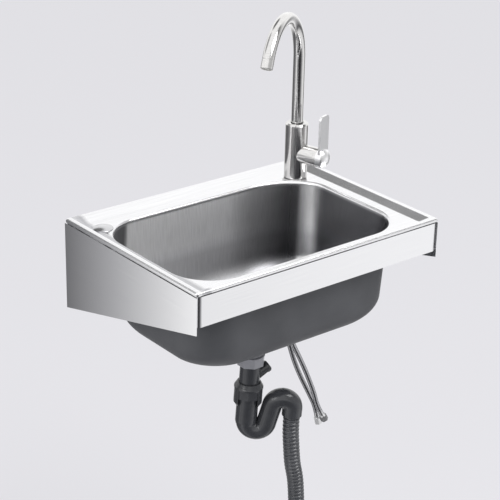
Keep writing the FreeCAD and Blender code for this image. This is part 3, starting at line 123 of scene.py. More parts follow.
# A wall that only mirror rays meet, left of the sink. It glows, with painted shade beside the
# bracket and paler further out. The left side plate shows it.
WALL_LEFT, WALL_RIGHT, WALL_Y, WALL_LOW, WALL_HIGH = -1.2, -0.301, 0.02, -0.85, 0.25
card_material, tree, shader = new_material("mirrored_wall")
across = add(tree, "SeparateXYZ", {0: add(tree, "TexCoord").outputs["Object"]})
place = add(tree, "MapRange", {"Value": across.outputs["X"], "From Min": -0.3,
                               "From Max": -0.68})
tone = add(tree, "ValToRGB", {"Fac": place.outputs[0]},
           stops=((0.0, "666668"), (0.35, "A4A4A6"), (0.7, "D4D4D5"),
                  (1.0, "FFFFFF"))).outputs["Color"]
glow = add(tree, "Emission", {"Color": tone, "Strength": 1.2})
tree.links.new(glow.outputs[0], tree.nodes["Material Output"].inputs["Surface"])
card = stage_sheet("mirrored_wall",
                   [(WALL_LEFT, WALL_Y, WALL_LOW), (WALL_RIGHT, WALL_Y, WALL_LOW),
                    (WALL_RIGHT, WALL_Y, WALL_HIGH), (WALL_LEFT, WALL_Y, WALL_HIGH)],
                   card_material)
for kind in ("camera", "diffuse", "transmission", "shadow"):
    setattr(card, "visible_" + kind, False)

world = bpy.data.worlds.new("studio")
bpy.context.scene.world = world
world.use_nodes = True
tree = world.node_tree
tree.nodes.clear()
way = add(tree, "TexCoord").outputs["Generated"]
parts = add(tree, "SeparateXYZ", {0: way})
around = add(tree, "Math", {0: parts.outputs["Y"], 1: parts.outputs["X"]}, operation="ARCTAN2")
turn = add(tree, "MapRange", {"Value": around.outputs[0], "From Min": -math.pi,
                              "From Max": math.pi})
# What steel mirrors near the ground, by compass turn from -X round through -Y: pale sheets
# with dark gaps between them. Places and tones were set from brightness read across the
# tap's upright tube in the photograph, so that it shows the same run of light and dark.
ground = add(tree, "ValToRGB", {"Fac": turn.outputs[0]},
             stops=((0.0, "F4F4F5"), (0.02, "E0E0E1"), (0.05, "B0B0B2"), (0.089, "7A7A7C"),
                    (0.142, "262628"), (0.192, "2E2E30"), (0.244, "5C5C5E"), (0.294, "AEAEB0"),
                    (0.328, "D4D4D5"), (0.378, "F6F6F7"), (0.406, "EAEAEB"), (0.45, "DADADB"),
                    (0.475, "8A8A8C"), (0.497, "4C4C4E"), (0.533, "A8A8AA"), (0.564, "F6F6F7"),
                    (0.667, "ECECED"), (0.75, "8A8A8C"), (0.786, "5E5E60"), (0.867, "68686A"),
                    (0.936, "949496"), (0.978, "D4D4D5"), (1.0, "F4F4F5"))).outputs["Color"]
# Overhead it is white, with soft dark flags at these headings.
sky = 1.0
for x, y, z, inner, outer, left in ((0.202, 0.710, 0.675, 0.985, 0.955, 0.16),
                                    (0.5, -0.80, 0.33, 0.85, 0.55, 0.5),
                                    (0.578, -0.401, 0.710, 0.98, 0.94, 0.35),
                                    (-0.401, 0.710, 0.578, 0.98, 0.94, 0.35)):
    near = add(tree, "VectorMath", {0: way, 1: (x, y, z)}, operation="DOT_PRODUCT")
    flag = add(tree, "MapRange", {"Value": near.outputs["Value"], "From Min": outer,
                                  "From Max": inner, "To Min": 1.0, "To Max": left},
               interpolation_type="SMOOTHSTEP")
    sky = add(tree, "Math", {0: sky, 1: flag.outputs[0]}, operation="MULTIPLY").outputs[0]
rise = add(tree, "MapRange", {"Value": parts.outputs["Z"], "From Min": -0.1, "From Max": 0.15},
           interpolation_type="SMOOTHSTEP")
pale = add(tree, "Mix", {0: rise.outputs[0], 6: ground, 7: sky}, data_type="RGBA")
# Mirror rays meet it a quarter stronger than plain white, which keeps the steel's flats white.
mirrored = add(tree, "Background", {"Color": pale.outputs[2], "Strength": 1.25})
seen = add(tree, "Background", {"Color": hex_linear("E4E3E7"), "Strength": 1.0})
lit = add(tree, "Background", {"Color": hex_linear("F2F4F8"), "Strength": 0.7})
path = add(tree, "LightPath")
shown = add(tree, "Math", {0: path.outputs["Is Camera Ray"],
                           1: path.outputs["Is Transmission Ray"]}, operation="MAXIMUM")
soft = add(tree, "MixShader", {0: path.outputs["Is Glossy Ray"], 1: lit.outputs[0],
                               2: mirrored.outputs[0]})
mix = add(tree, "MixShader", {0: shown.outputs[0], 1: soft.outputs[0], 2: seen.outputs[0]})
add(tree, "OutputWorld", {"Surface": mix.outputs[0]})

bpy.context.scene.view_settings.view_transform = "Standard"


def lamp(name, spot, aim, size, watts):
    """A square area lamp at a spot, facing a point."""
    data = bpy.data.lights.new(name, "AREA")
    data.shape = "SQUARE"
    data.size = size
    data.energy = watts
    made = bpy.data.objects.new(name, data)
    bpy.context.scene.collection.objects.link(made)
    made.location = spot
    way = np.subtract(aim, spot)
    flat = math.hypot(way[0], way[1])
    made.rotation_euler = (math.atan2(flat, -way[2]), 0, math.atan2(-way[0], way[1]))
    return made


lamp("over_front", (0.9, -1.9, 2.4), (0, -0.2, 0), 1.6, 42)
lamp("left_fill", (-2.6, -0.9, 1.3), (0, -0.2, 0), 1.4, 14)


# Basin. One sheet of 0.8 mm stainless steel: a folded skirt, a rolled rim, a flat lip, a sloped
# recess, the deck, and a deep-drawn bowl whose walls lean in and whose floor is flat round the
# drain. It is brushed along the wall on its flats and down the walls of the bowl.
MM = 0.001
RIM_Z = 100.0                       # the rim's top above the wall bolts' centre
WIDE, DEEP, SHEET = 600.0, 430.0, 0.8
SKIRT, ROLL = 9.0, 4.0              # height of the skirt, radius of the rolled rim
RECESS, BOWL_FLOOR = 7.0, 217.0     # depth of the deck and of the bowl below the rim
EDGE, FILLET = 6.0, 58.0            # radius at the bowl's opening and round its floor
HEM, GAP = 1.8, 1.2                 # radius of the skirt's curl, and its gap to the plates
LIP_ROUND, DECK_ROUND = 1.6, 3.0    # how far the recess's two creases are rounded
LIP = -287, 287, -421, -13          # left, right, front and back of the lip's inner edge
SLOPE = 9, -20, 8, -20              # how far the recess slopes in from each
OPENING = -275, 247.5, -405, -58    # left, right, front and back of the bowl's opening
CORNER, TAP_CORNER = 92, (140, 95)  # radius of three corners; half axes of the tap's
LEANS = 4.5, 1, 3                   # of the side, front and back walls, in degrees
DRAIN, DRAIN_HOLE = np.array([-13.0, -235.0]), 45
TAP_HOLE, SPARE_HOLE = (231, -70.5, 17.5), (-257, -71, 14)


def ring(left, right, front, back, corners, z):
    """A closed loop of points: four straight sides and four quarter ellipses, whose wide and
    deep half axes are given for the front left, front right, back right and back left."""
    boxes = ((left, front, 1, 1), (right, front, -1, 1), (right, back, -1, -1),
             (left, back, 1, -1))
    arcs = []
    for (x, y, sx, sy), (wide, deep), start in zip(boxes, corners, (180, 270, 0, 90)):
        turn = np.radians(np.linspace(start, start + 90, 25))
        arcs.append(np.column_stack([x + sx * wide + wide * np.cos(turn),
                                     y + sy * deep + deep * np.sin(turn)]))
    share = np.linspace(0, 1, 26)[1:-1, None]
    loop = []
    for i, arc in enumerate(arcs):
        following = arcs[(i + 1) % 4]
        loop += [arc, arc[-1] + (following[0] - arc[-1]) * share]
    flat = np.vstack(loop)
    return np.column_stack([flat, np.full(len(flat), z + RIM_Z)])


def rim_ring(inset, z):
    """A loop of the rim: its outline moved in, with corners that shrink by as much."""
    corner = max(6 - inset, 2)
    return ring(-WIDE / 2 + inset, WIDE / 2 - inset, -DEEP + inset, -inset,
                [(corner, corner)] * 4, z)


def recess_ring(share, z):
    """A loop of the recess: the lip's inner edge moved in by a share of its slope."""
    left, right, front, back = (edge + run * share for edge, run in zip(LIP, SLOPE))
    return ring(left, right, front, back, [(8, 8)] * 4, z)


def bowl_ring(inset, below, z, shrink):
    """A loop of the bowl: the opening moved in, plus the lean of each wall below its edge."""
    left, right, near, far = OPENING
    side, front, back = (inset + below * math.tan(math.radians(a)) for a in LEANS)
    corner, tap = CORNER - shrink, tuple(half - shrink for half in TAP_CORNER)
    return ring(left + side, right - side, near + front, far - back,
                [(corner, corner), (corner, corner), tap, (corner, corner)], z)


def rounded(before, here, after, reach):
    """Loops of a quadratic curve that rounds the crease at one loop, reach mm to each side."""
    def towards(other):
        way = other - here
        long = np.linalg.norm(way, axis=1, keepdims=True)
        return here + way * np.minimum(reach / np.maximum(long, 1e-9), 0.45)
    first, last = towards(before), towards(after)
    shares = np.linspace(0, 1, 6)
    return [first * (1 - t) ** 2 + here * 2 * t * (1 - t) + last * t * t for t in shares]


def bowl_loops(grow, top=None):
    """Loops from the bowl's opening, round its edge, down its walls and into its floor. Grow
    is how far this side of the sheet lies outside the inner face."""
    wall_top, wall_end = -RECESS - EDGE, -BOWL_FLOOR + SHEET + FILLET
    loops = []
    if top is None:
        for a in np.radians(np.linspace(0, 90, 9)):
            reach = (EDGE - grow) * math.sin(a)
            loops.append(bowl_ring(reach, 0, wall_top + (EDGE - grow) * math.cos(a), reach))
        top = wall_top
    for z in np.linspace(top, wall_end, 10)[0 if top != wall_top else 1:]:
        loops.append(bowl_ring(EDGE - grow, wall_top - z, z, EDGE - grow))
    for a in np.radians(np.linspace(0, 90, 19))[1:]:
        inset = EDGE + FILLET - (FILLET + grow) * math.cos(a)
        loops.append(bowl_ring(inset, wall_top - wall_end, wall_end - (FILLET + grow)
                               * math.sin(a), EDGE - grow))
    return loops


def round_loop(loop, radius, z):
    """The points of a loop drawn in to a circle round the drain."""
    way = loop[:, :2] - DRAIN
    flat = DRAIN + way / np.linalg.norm(way, axis=1, keepdims=True) * radius
    return np.column_stack([flat, np.full(len(flat), z + RIM_Z)])


def sheet_side(grow):
    """Loops of one side of the pressed sheet, from the skirt's lower edge to the drain hole."""
    loops = [rim_ring(grow + HEM * (1 - math.sin(a)), HEM - SKIRT + GAP - HEM * math.cos(a))
             for a in np.radians(np.linspace(0, 90, 5))]
    for a in np.radians(np.linspace(0, 90, 9)):
        loops.append(rim_ring(ROLL - (ROLL - grow) * math.cos(a),
                              -ROLL + (ROLL - grow) * math.sin(a)))
    lip, deck = recess_ring(0, -grow), recess_ring(1, -RECESS - grow)
    bowl = bowl_loops(grow)
    loops += rounded(loops[-1], lip, deck, LIP_ROUND)
    loops += rounded(lip, deck, bowl[0], DECK_ROUND) + bowl
    z = -BOWL_FLOOR + SHEET - grow
    hole = round_loop(bowl[-1], DRAIN_HOLE, z)
    loops += [bowl[-1] + (hole - bowl[-1]) * t for t in (0.3, 0.6, 0.85, 1.0)]
    return loops


def closed_sheet(name, loops):
    """A mesh of quads between loops that also close on themselves from last to first."""
    points = np.concatenate(loops) * MM
    rows, around = len(loops), len(loops[0])
    row, spot = np.meshgrid(np.arange(rows), np.arange(around), indexing="ij")
    after, beside = (row + 1) % rows, (spot + 1) % around
    quads = np.stack([row * around + spot, row * around + beside, after * around + beside,
                      after * around + spot], axis=-1).reshape(-1, 4)
    return quad_mesh(name, points, quads)


def quad_mesh(name, points, quads, crease=32):
    """A smooth-shaded mesh object from point and quad arrays; folds past crease stay sharp."""
    mesh = bpy.data.meshes.new(name)
    mesh.from_pydata(points.tolist(), [], quads.tolist())
    mesh.polygons.foreach_set("use_smooth", np.ones(len(mesh.polygons), bool))
    mesh.set_sharp_from_angle(angle=math.radians(crease))
    made = bpy.data.objects.new(name, mesh)
    bpy.context.scene.collection.objects.link(made)
    return made


def turned(name, profile, axis=((0, 0, 0), (1, 0, 0), (0, 1, 0), (0, 0, 1)), around=96):
    """A turned piece: a closed (radius, height) profile swept round an axis. The axis is its
    foot and its two cross directions and its own direction, in mm."""
    foot, across, over, along = (np.array(v, float) for v in axis)
    turn = np.linspace(0, 2 * math.pi, around, endpoint=False)
    radius, height = np.array(profile, float).T
    arm = np.cos(turn)[:, None] * across + np.sin(turn)[:, None] * over
    loops = (foot + radius[:, None, None] * arm[None] + height[:, None, None] * along)
    return closed_sheet(name, list(loops))


def cut_holes(piece, holes):
    """Cut round holes of (x, y, radius) through the deck, each with a temporary cutter that
    runs from 80 to 110 mm, above and below the sheet."""
    for x, y, radius in holes:
        cutter = turned("cutter", [(0.01, 80), (radius, 80), (radius, 110), (0.01, 110)],
                        ((x, y, 0), (1, 0, 0), (0, 1, 0), (0, 0, 1)))
        tool = piece.modifiers.new("hole", "BOOLEAN")
        tool.operation = "DIFFERENCE"
        tool.solver = "EXACT"
        tool.object = cutter
        graph = bpy.context.evaluated_depsgraph_get()
        done = bpy.data.meshes.new_from_object(piece.evaluated_get(graph))
        piece.modifiers.clear()
        piece.data = done
        bpy.data.objects.remove(cutter)


basin = closed_sheet("basin_sheet", sheet_side(0) + sheet_side(SHEET)[::-1])
cut_holes(basin, [TAP_HOLE, SPARE_HOLE])

steel, tree, shader = new_material("brushed_stainless_sheet")
place = add(tree, "TexCoord").outputs["Object"]
facing = add(tree, "NewGeometry").outputs["Normal"]
lean = add(tree, "SeparateXYZ", {0: facing})
level = add(tree, "Math", {0: lean.outputs["Z"]}, operation="ABSOLUTE")
# Brushed lines, drawn coarser than real ones so that they show: about 1 mm apart along X on
# the flats, and about 2 mm apart down the walls of the bowl.
along = add(tree, "Mapping", {"Vector": place, "Scale": (6, 900, 900)})
down = add(tree, "Mapping", {"Vector": place, "Scale": (500, 500, 5)})
flat_grain = add(tree, "TexNoise", {"Vector": along.outputs[0], "Scale": 1.0, "Detail": 3.0})
wall_grain = add(tree, "TexNoise", {"Vector": down.outputs[0], "Scale": 1.0, "Detail": 3.0})
flat_part = add(tree, "MapRange", {"Value": level.outputs[0], "From Min": 0.6,
                                   "From Max": 0.9})
grain = add(tree, "Mix", {0: flat_part.outputs[0], 2: wall_grain.outputs[0],
                          3: flat_grain.outputs[0]}, data_type="FLOAT")
broad = add(tree, "TexNoise", {"Vector": place, "Scale": 9.0, "Detail": 2.0})
tone = add(tree, "ValToRGB", {"Fac": grain.outputs[0]},
           stops=((0.3, "DFDFE1"), (0.7, "EAEAEB"))).outputs["Color"]
# The narrow strip left of the bowl is painted darker than the rest: painted shade,
# standing in for the darker reflection there.
height = add(tree, "SeparateXYZ", {0: place})
strip = add(tree, "MapRange", {"Value": height.outputs["X"], "From Min": -0.290,
                               "From Max": -0.260})
strip_painted_shade = add(tree, "ValToRGB", {"Fac": strip.outputs[0]},
           stops=((0.05, "FFFFFF"), (0.12, "D8D8DA"), (0.6, "C4C4C6"),
                  (0.95, "FFFFFF"))).outputs["Color"]
tone = add(tree, "Mix", {0: 1.0, 6: tone, 7: strip_painted_shade}, data_type="RGBA",
           blend_type="MULTIPLY").outputs[2]
# The drawn bowl is duller than the flats. Its colour holds painted light and shade, set by
# place: painted shade in the back left corner, painted reflection pale at the left and back,
# painted shade towards the right and front, and one painted highlight, a bright band down
# the tap's corner.
deep = add(tree, "MapRange", {"Value": height.outputs["Z"], "From Min": 0.089,
                              "From Max": 0.082})
across = add(tree, "Math", {0: height.outputs["Y"], 1: -1.26, 2: height.outputs["X"]},
           operation="MULTIPLY_ADD")
across = add(tree, "MapRange", {"Value": across.outputs[0], "From Min": -0.1244,
                              "From Max": 0.8756})
# Painted light and shade across the bowl, from the back left to the front right.
bowl_painted_light_and_grain = add(tree, "ValToRGB", {"Fac": across.outputs[0]},
            stops=((0.006, "7E7E80"), (0.012, "FFFFFF"), (0.27, "FDFDFE"), (0.36, "CECED0"),
                   (0.43, "8A8A8C"), (0.465, "8A8A8C"), (0.48, "FFFFFF"), (0.515, "FFFFFF"),
                   (0.545, "8E8E90"), (0.7, "808083"), (1.0, "707074"))).outputs["Color"]
# Deep in the bowl it is painted darker still: painted shade.
sunk = add(tree, "MapRange", {"Value": height.outputs["Z"], "From Min": -0.07,
                              "From Max": 0.03})
shade = add(tree, "ValToRGB", {"Fac": sunk.outputs[0]},
            stops=((0.0, "CECECF"), (0.45, "E0E0E1"), (0.6, "F6F6F7"),
                   (0.75, "FFFFFF"))).outputs["Color"]
bowl_painted_light_and_grain = add(tree, "Mix", {0: 1.0, 6: bowl_painted_light_and_grain, 7: shade}, data_type="RGBA",
            blend_type="MULTIPLY").outputs[2]
sheen = add(tree, "MapRange", {"Value": across.outputs[0], "From Min": 0.25,
                               "From Max": 0.45, "To Min": 0.55, "To Max": 0.26})
streak = add(tree, "ValToRGB", {"Fac": grain.outputs[0]},
             stops=((0.3, "F0F0F0"), (0.7, "FFFFFF"))).outputs["Color"]
bowl_painted_light_and_grain = add(tree, "Mix", {0: 1.0, 6: bowl_painted_light_and_grain, 7: streak}, data_type="RGBA",
            blend_type="MULTIPLY").outputs[2]
tone = add(tree, "Mix", {0: deep.outputs[0], 6: tone, 7: bowl_painted_light_and_grain}, data_type="RGBA").outputs[2]
rough = add(tree, "MapRange", {"Value": broad.outputs[0], "To Min": 0.2, "To Max": 0.28})
bump = add(tree, "Bump", {"Height": grain.outputs[0], "Strength": 0.10, "Distance": 0.0002})
rough = add(tree, "Mix", {0: deep.outputs[0], 2: rough.outputs[0], 3: sheen.outputs[0]},
            data_type="FLOAT")
for name, value in (("Base Color", tone), ("Roughness", rough.outputs[0]),
                    ("Normal", bump.outputs[0])):
    tree.links.new(value, shader.inputs[name])
shader.inputs["Metallic"].default_value = 1.0
basin.data.materials.clear()
basin.data.materials.append(steel)
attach(basin, "sink")
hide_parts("basin")


# Sound-deadening coat: a dark rubbery paint sprayed on the outside of the bowl, 0.6 mm thick,
# with a fine orange-peel face. It is masked off round the drain.
COAT, COAT_TOP, COAT_GAP, MASK = 0.6, -30.0, 0.02, 62


def coat_side(grow):
    """Loops of one side of the coat: the bowl's own from the coat's top down to its floor,
    then drawn in to the round mask about the drain."""
    loops = bowl_loops(grow, COAT_TOP)
    z = -BOWL_FLOOR + SHEET - grow
    masked = round_loop(loops[-1], MASK, z)
    return loops + [loops[-1] + (masked - loops[-1]) * t for t in (0.3, 0.6, 0.85, 1.0)]


coat = closed_sheet("bowl_coat_skin", coat_side(SHEET + COAT_GAP)
                    + coat_side(SHEET + COAT)[::-1])
rubber_paint, tree, shader = new_material("sprayed_deadening_coat")
place = add(tree, "TexCoord").outputs["Object"]
speck = add(tree, "TexNoise", {"Vector": place, "Scale": 420.0, "Detail": 4.0})
cloud = add(tree, "TexNoise", {"Vector": place, "Scale": 11.0, "Detail": 3.0})
tone = add(tree, "ValToRGB", {"Fac": cloud.outputs[0]},
           stops=((0.3, "46474A"), (0.7, "525356"))).outputs["Color"]
bump = add(tree, "Bump", {"Height": speck.outputs[0], "Strength": 0.35, "Distance": 0.0004})
tree.links.new(tone, shader.inputs["Base Color"])
tree.links.new(bump.outputs[0], shader.inputs["Normal"])
shader.inputs["Roughness"].default_value = 0.55
coat.data.materials.append(rubber_paint)
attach(coat, "sink")
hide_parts("bowl_coat")


# Bracket: two tapered side plates, the bent front apron and the rail on the wall, all of
# 1 to 1.2 mm stainless sheet with a fine satin finish, brushed along their length.
satin, tree, shader = new_material("satin_stainless_sheet")
place = add(tree, "TexCoord").outputs["Object"]
along = add(tree, "Mapping", {"Vector": place, "Scale": (7, 7, 1100)})
grain = add(tree, "TexNoise", {"Vector": along.outputs[0], "Scale": 1.0, "Detail": 3.0})
tone = add(tree, "ValToRGB", {"Fac": grain.outputs[0]},
           stops=((0.3, "E6E6E8"), (0.7, "ECECED"))).outputs["Color"]
bump = add(tree, "Bump", {"Height": grain.outputs[0], "Strength": 0.012, "Distance": 0.0002})
tree.links.new(tone, shader.inputs["Base Color"])
tree.links.new(bump.outputs[0], shader.inputs["Normal"])
shader.inputs["Metallic"].default_value = 1.0
shader.inputs["Roughness"].default_value = 0.22


def finish_nodes(material, *nodes):
    """Give whole CAD nodes one material."""
    for name in nodes:
        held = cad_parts[name]
        held.data.materials.clear()
        held.data.materials.append(material)


finish_nodes(satin, "left_side_plate", "right_side_plate", "front_apron", "rear_rail")


# Small steel fixings: clips, screws, washers, nuts and the tap's shank, plated and fairly bright.
bright, tree, shader = new_material("plated_steel")
place = add(tree, "TexCoord").outputs["Object"]
wear = add(tree, "TexNoise", {"Vector": place, "Scale": 260.0, "Detail": 3.0})
tone = add(tree, "ValToRGB", {"Fac": wear.outputs[0]},
           stops=((0.35, "C9C9CA"), (0.65, "DDDDDE"))).outputs["Color"]
rough = add(tree, "MapRange", {"Value": wear.outputs[0], "To Min": 0.2, "To Max": 0.34})
tree.links.new(tone, shader.inputs["Base Color"])
tree.links.new(rough.outputs[0], shader.inputs["Roughness"])
shader.inputs["Metallic"].default_value = 1.0
finish_nodes(bright, "rim_clips", "clip_screws", "cover_stud", "cover_washer",
             "cover_wing_nut", "cartridge_nut", "lever_pin", "spout_stem", "mounting_shank",
             "steel_washer", "mounting_nut", "hot_tail", "cold_tail", "hot_ferrule",
             "cold_ferrule", "hot_hose_nut", "cold_hose_nut", "clamp_screw")


# Spare tap hole's cover: a small domed disc of polished stainless steel.
# The strainer seat and its basket have the same bright, softly polished finish.
polished, tree, shader = new_material("polished_stainless")
place = add(tree, "TexCoord").outputs["Object"]
haze = add(tree, "TexNoise", {"Vector": place, "Scale": 30.0, "Detail": 3.0})
tone = add(tree, "ValToRGB", {"Fac": haze.outputs[0]},
           stops=((0.3, "BEBEC0"), (0.7, "CACACC"))).outputs["Color"]
rough = add(tree, "MapRange", {"Value": haze.outputs[0], "To Min": 0.15, "To Max": 0.22})
tree.links.new(tone, shader.inputs["Base Color"])
tree.links.new(rough.outputs[0], shader.inputs["Roughness"])
shader.inputs["Metallic"].default_value = 1.0
finish_nodes(polished, "tap_hole_cover", "strainer_seat", "strainer_basket")


# Tap: body, hub, bonnet, spout and aerator of brushed stainless steel, a darker grey than the
# sink, with brush lines round each piece.
brushed, tree, shader = new_material("brushed_stainless_tube")
place = add(tree, "TexCoord").outputs["Object"]
rings = add(tree, "Mapping", {"Vector": place, "Scale": (60, 60, 1500)})
grain = add(tree, "TexNoise", {"Vector": rings.outputs[0], "Scale": 1.0, "Detail": 3.0})
tone = add(tree, "ValToRGB", {"Fac": grain.outputs[0]},
           stops=((0.3, "CBCAC9"), (0.7, "DEDDDC"))).outputs["Color"]
rough = add(tree, "MapRange", {"Value": grain.outputs[0], "To Min": 0.1, "To Max": 0.17})
tree.links.new(tone, shader.inputs["Base Color"])
tree.links.new(rough.outputs[0], shader.inputs["Roughness"])
shader.inputs["Metallic"].default_value = 1.0
finish_nodes(brushed, "tap_body", "bonnet", "spout_tube", "aerator_housing")

# The lever is bead-blasted, so it looks paler and flatter than the tubes.
blasted, tree, shader = new_material("blasted_stainless")
place = add(tree, "TexCoord").outputs["Object"]
grit = add(tree, "TexNoise", {"Vector": place, "Scale": 700.0, "Detail": 2.0})
tone = add(tree, "ValToRGB", {"Fac": grit.outputs[0]},
           stops=((0.3, "E9E9EA"), (0.7, "F6F6F7"))).outputs["Color"]
tree.links.new(tone, shader.inputs["Base Color"])
shader.inputs["Metallic"].default_value = 1.0
shader.inputs["Roughness"].default_value = 0.3
finish_nodes(blasted, "lever")


# Rubber: gaskets, washers, seals and O-rings, soft black, with the hose's end cuff.
rubber, tree, shader = new_material("black_rubber")
place = add(tree, "TexCoord").outputs["Object"]
grit = add(tree, "TexNoise", {"Vector": place, "Scale": 500.0, "Detail": 2.0})
tone = add(tree, "ValToRGB", {"Fac": grit.outputs[0]},
           stops=((0.3, "1C1C1D"), (0.7, "2A2A2B"))).outputs["Color"]
tree.links.new(tone, shader.inputs["Base Color"])
shader.inputs["Roughness"].default_value = 0.6
finish_nodes(rubber, "base_gasket", "swivel_ring", "stem_o_rings", "rubber_washer",
             "floor_gasket", "neck_seal", "slip_seal", "hose_cuff")


# Pale plastic inside the tap: the cartridge, its rotor and the aerator's insert.
acetal, tree, shader = new_material("moulded_acetal")
place = add(tree, "TexCoord").outputs["Object"]
cloud = add(tree, "TexNoise", {"Vector": place, "Scale": 90.0})
tone = add(tree, "ValToRGB", {"Fac": cloud.outputs[0]},
           stops=((0.3, "D8D7D0"), (0.7, "E2E1DB"))).outputs["Color"]
tree.links.new(tone, shader.inputs["Base Color"])
shader.inputs["Roughness"].default_value = 0.45
finish_nodes(acetal, "cartridge", "cartridge_rotor", "aerator_insert")


# Drain fittings. The cup under the bowl, its washer and its lock nut are pale grey plastic, and
# the tailpiece, slip nut and trap are dark grey moulded plastic with a soft gloss.
def moulded_plastic(name, dark, light, roughness):
    """A moulded plastic: a faint cloud in its colour and a fine pitted face."""
    material, tree, shader = new_material(name)
    place = add(tree, "TexCoord").outputs["Object"]
    cloud = add(tree, "TexNoise", {"Vector": place, "Scale": 35.0, "Detail": 3.0})
    pits = add(tree, "TexNoise", {"Vector": place, "Scale": 900.0, "Detail": 2.0})
    tone = add(tree, "ValToRGB", {"Fac": cloud.outputs[0]},
               stops=((0.3, dark), (0.7, light))).outputs["Color"]
    bump = add(tree, "Bump", {"Height": pits.outputs[0], "Strength": 0.08,
                              "Distance": 0.0002})
    tree.links.new(tone, shader.inputs["Base Color"])
    tree.links.new(bump.outputs[0], shader.inputs["Normal"])
    shader.inputs["Roughness"].default_value = roughness
    return material


knob_plastic = moulded_plastic("black_polypropylene", "232426", "2B2C2E", 0.45)
nut_plastic = moulded_plastic("grey_nylon", "8C8C90", "A2A2A6", 0.3)
trap_plastic = moulded_plastic("dark_grey_pvc", "3A3B3E", "434447", 0.2)
finish_nodes(knob_plastic, "basket_knob")
finish_nodes(nut_plastic, "drain_cup", "lock_washer", "lock_nut")
finish_nodes(trap_plastic, "tailpiece", "slip_nut", "trap_bend", "branch_cap")


# Supply hoses. Rubber hose in a braided stainless sleeve, 11 mm across, crimped into a ferrule
# at the end. The route's points are those that the hose hangs through, from below the deck.
HOT_ROUTE = [(226.5, -66.9, -79), (226.5, -66.9, -135), (224.4, -62.5, -235),
             (222.8, -57, -345.4), (241.6, -58, -418.7), (261.1, -64, -481.4),
             (296.8, -74, -559.1), (307.5, -77, -583.3), (311.2, -79, -601.4)]
COLD_ROUTE = [(235.5, -74.1, -79), (235.5, -74.1, -135), (234.2, -74.2, -235),
              (217.1, -74, -320), (225.1, -75, -383.2), (262.6, -81, -460.7),
              (279.5, -89, -508.3), (289.8, -94, -540.2), (295.1, -97, -566.6),
              (304.9, -99, -586.6)]


HOSE_RADIUS, HOSE_BORE = 5.5, 3.0


def hanging_line(name, route, step):
    """Points at an even step along the smooth NURBS line that a route controls, in mm."""
    curve = bpy.data.curves.new(name + "_route", "CURVE")
    curve.dimensions = "3D"
    curve.resolution_u = 24
    spline = curve.splines.new("NURBS")
    spline.points.add(len(route) - 1)
    for point, spot in zip(spline.points, route):
        point.co = (*(c * MM for c in spot), 1.0)
    spline.order_u = 3
    spline.use_endpoint_u = True
    holder = bpy.data.objects.new(name + "_route", curve)
    line = bpy.data.meshes.new_from_object(holder)
    spots = np.array([v.co for v in line.vertices]) / MM
    bpy.data.objects.remove(holder)
    bpy.data.meshes.remove(line)
    run = np.concatenate([[0], np.cumsum(np.linalg.norm(np.diff(spots, axis=0), axis=1))])
    even = np.linspace(0, run[-1], int(round(run[-1] / step)) + 1)
    return np.column_stack([np.interp(even, run, spots[:, i]) for i in range(3)]), even


def along_line(name, line, run, outer, inner, around=32):
    """A hose along a line: outer gives its radius at each run and turn, inner is the bore. A
    UV map holds the run along it in metres and the turn round it."""
    way = np.gradient(line, axis=0)
    way /= np.linalg.norm(way, axis=1, keepdims=True)
    side = np.cross(way, (0.0, 1.0, 0.0))
    side /= np.linalg.norm(side, axis=1, keepdims=True)
    over = np.cross(way, side)
    turn = np.linspace(0, 2 * math.pi, around, endpoint=False)
    arm = (np.cos(turn)[None, :, None] * side[:, None] + np.sin(turn)[None, :, None]
           * over[:, None])
    skin = line[:, None] + arm * outer(run[:, None], turn[None])[..., None]
    bore = line[:, None] + arm * inner
    made = closed_sheet(name, list(skin) + list(bore[::-1]))
    rows, count = len(run), len(turn)
    row, spot = np.meshgrid(np.arange(2 * rows), np.arange(count), indexing="ij")
    along = np.concatenate([run, run[::-1]]) * MM
    u0, u1 = along[row], along[(row + 1) % (2 * rows)]
    v0, v1 = spot / count, (spot + 1) / count
    corners = np.stack([np.stack([u0, v0], -1), np.stack([u0, v1], -1),
                        np.stack([u1, v1], -1), np.stack([u1, v0], -1)], axis=2)
    made.data.uv_layers.new(name="UVMap").data.foreach_set(
        "uv", corners.reshape(-1).astype(np.float32))
    return made


braid, tree, shader = new_material("stainless_braid")
uv = add(tree, "UVMap", uv_map="UVMap")
parts = add(tree, "SeparateXYZ", {0: uv.outputs[0]})
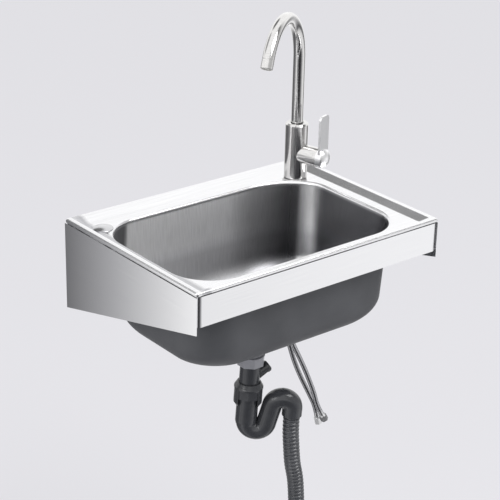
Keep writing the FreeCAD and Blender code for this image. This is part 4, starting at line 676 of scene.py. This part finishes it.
# Eight strands each way round the hose, which cross every 8 mm along it.
run = add(tree, "Math", {0: parts.outputs["X"], 1: 2 * math.pi / 0.008}, operation="MULTIPLY")
turn = add(tree, "Math", {0: parts.outputs["Y"], 1: 2 * math.pi * 8}, operation="MULTIPLY")
left = add(tree, "Math", {0: run.outputs[0], 1: turn.outputs[0]}, operation="ADD")
back = add(tree, "Math", {0: run.outputs[0], 1: turn.outputs[0]}, operation="SUBTRACT")
waves = [add(tree, "Math", {0: w.outputs[0]}, operation="SINE") for w in (left, back)]
weave = add(tree, "Math", {0: waves[0].outputs[0], 1: waves[1].outputs[0]},
            operation="MULTIPLY")
shade = add(tree, "MapRange", {"Value": weave.outputs[0], "From Min": -1.0})
tone = add(tree, "ValToRGB", {"Fac": shade.outputs[0]},
           stops=((0.1, "626265"), (0.75, "CFCFD2"))).outputs["Color"]
bump = add(tree, "Bump", {"Height": shade.outputs[0], "Strength": 0.3, "Distance": 0.0004})
tree.links.new(tone, shader.inputs["Base Color"])
tree.links.new(bump.outputs[0], shader.inputs["Normal"])
shader.inputs["Metallic"].default_value = 1.0
shader.inputs["Roughness"].default_value = 0.2

for side, route in (("hot", HOT_ROUTE), ("cold", COLD_ROUTE)):
    spots = [(x, y, z + RIM_Z) for x, y, z in route]
    line, run = hanging_line(side, spots, 2.0)
    hose = along_line(f"{side}_braided_hose", line, run, lambda s, t: HOSE_RADIUS + 0 * s * t,
                      HOSE_BORE)
    hose.data.materials.append(braid)
    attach(hose, "sink")
    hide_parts(f"{side}_hose")


# Drain hose. Corrugated grey plastic, 35 mm across its ribs, pushed into the trap's socket and
# hanging to the floor drain; each rib has a rounded crown and a narrow valley.
DRAIN_ROUTE = [(55.13, -289.38, -320.82), (53.7, -288.24, -355.77), (56.73, -288.98, -400.82),
               (61.93, -288.18, -445.82), (71.93, -287.58, -481.82), (76.43, -286.98, -519.82),
               (79.93, -286.38, -565.82), (81.43, -285.98, -615.82), (80.43, -286.38, -664.82),
               (78.43, -286.78, -711.82), (76.93, -287.38, -750.82)]
line, run = hanging_line("drain", DRAIN_ROUTE, 0.7)
RIBS, RIB_MIDDLE, RIB_HALF, DRAIN_BORE = 49, 16.0, 1.5, 13.5


def ribs(s, t):
    """Radius of a corrugated wall: a sine along the hose, flattened at crown and valley."""
    wave = np.tanh(1.6 * np.sin(s / run[-1] * RIBS * 2 * math.pi - math.pi / 2)) / math.tanh(1.6)
    return RIB_MIDDLE + RIB_HALF * wave + 0 * t


drain_hose = along_line("corrugated_drain_hose", line, run, ribs, DRAIN_BORE, around=48)
hose_plastic = moulded_plastic("grey_soft_pvc", "47484B", "545558", 0.14)
drain_hose.data.materials.append(hose_plastic)
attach(drain_hose, "sink")
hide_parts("drain_hose")
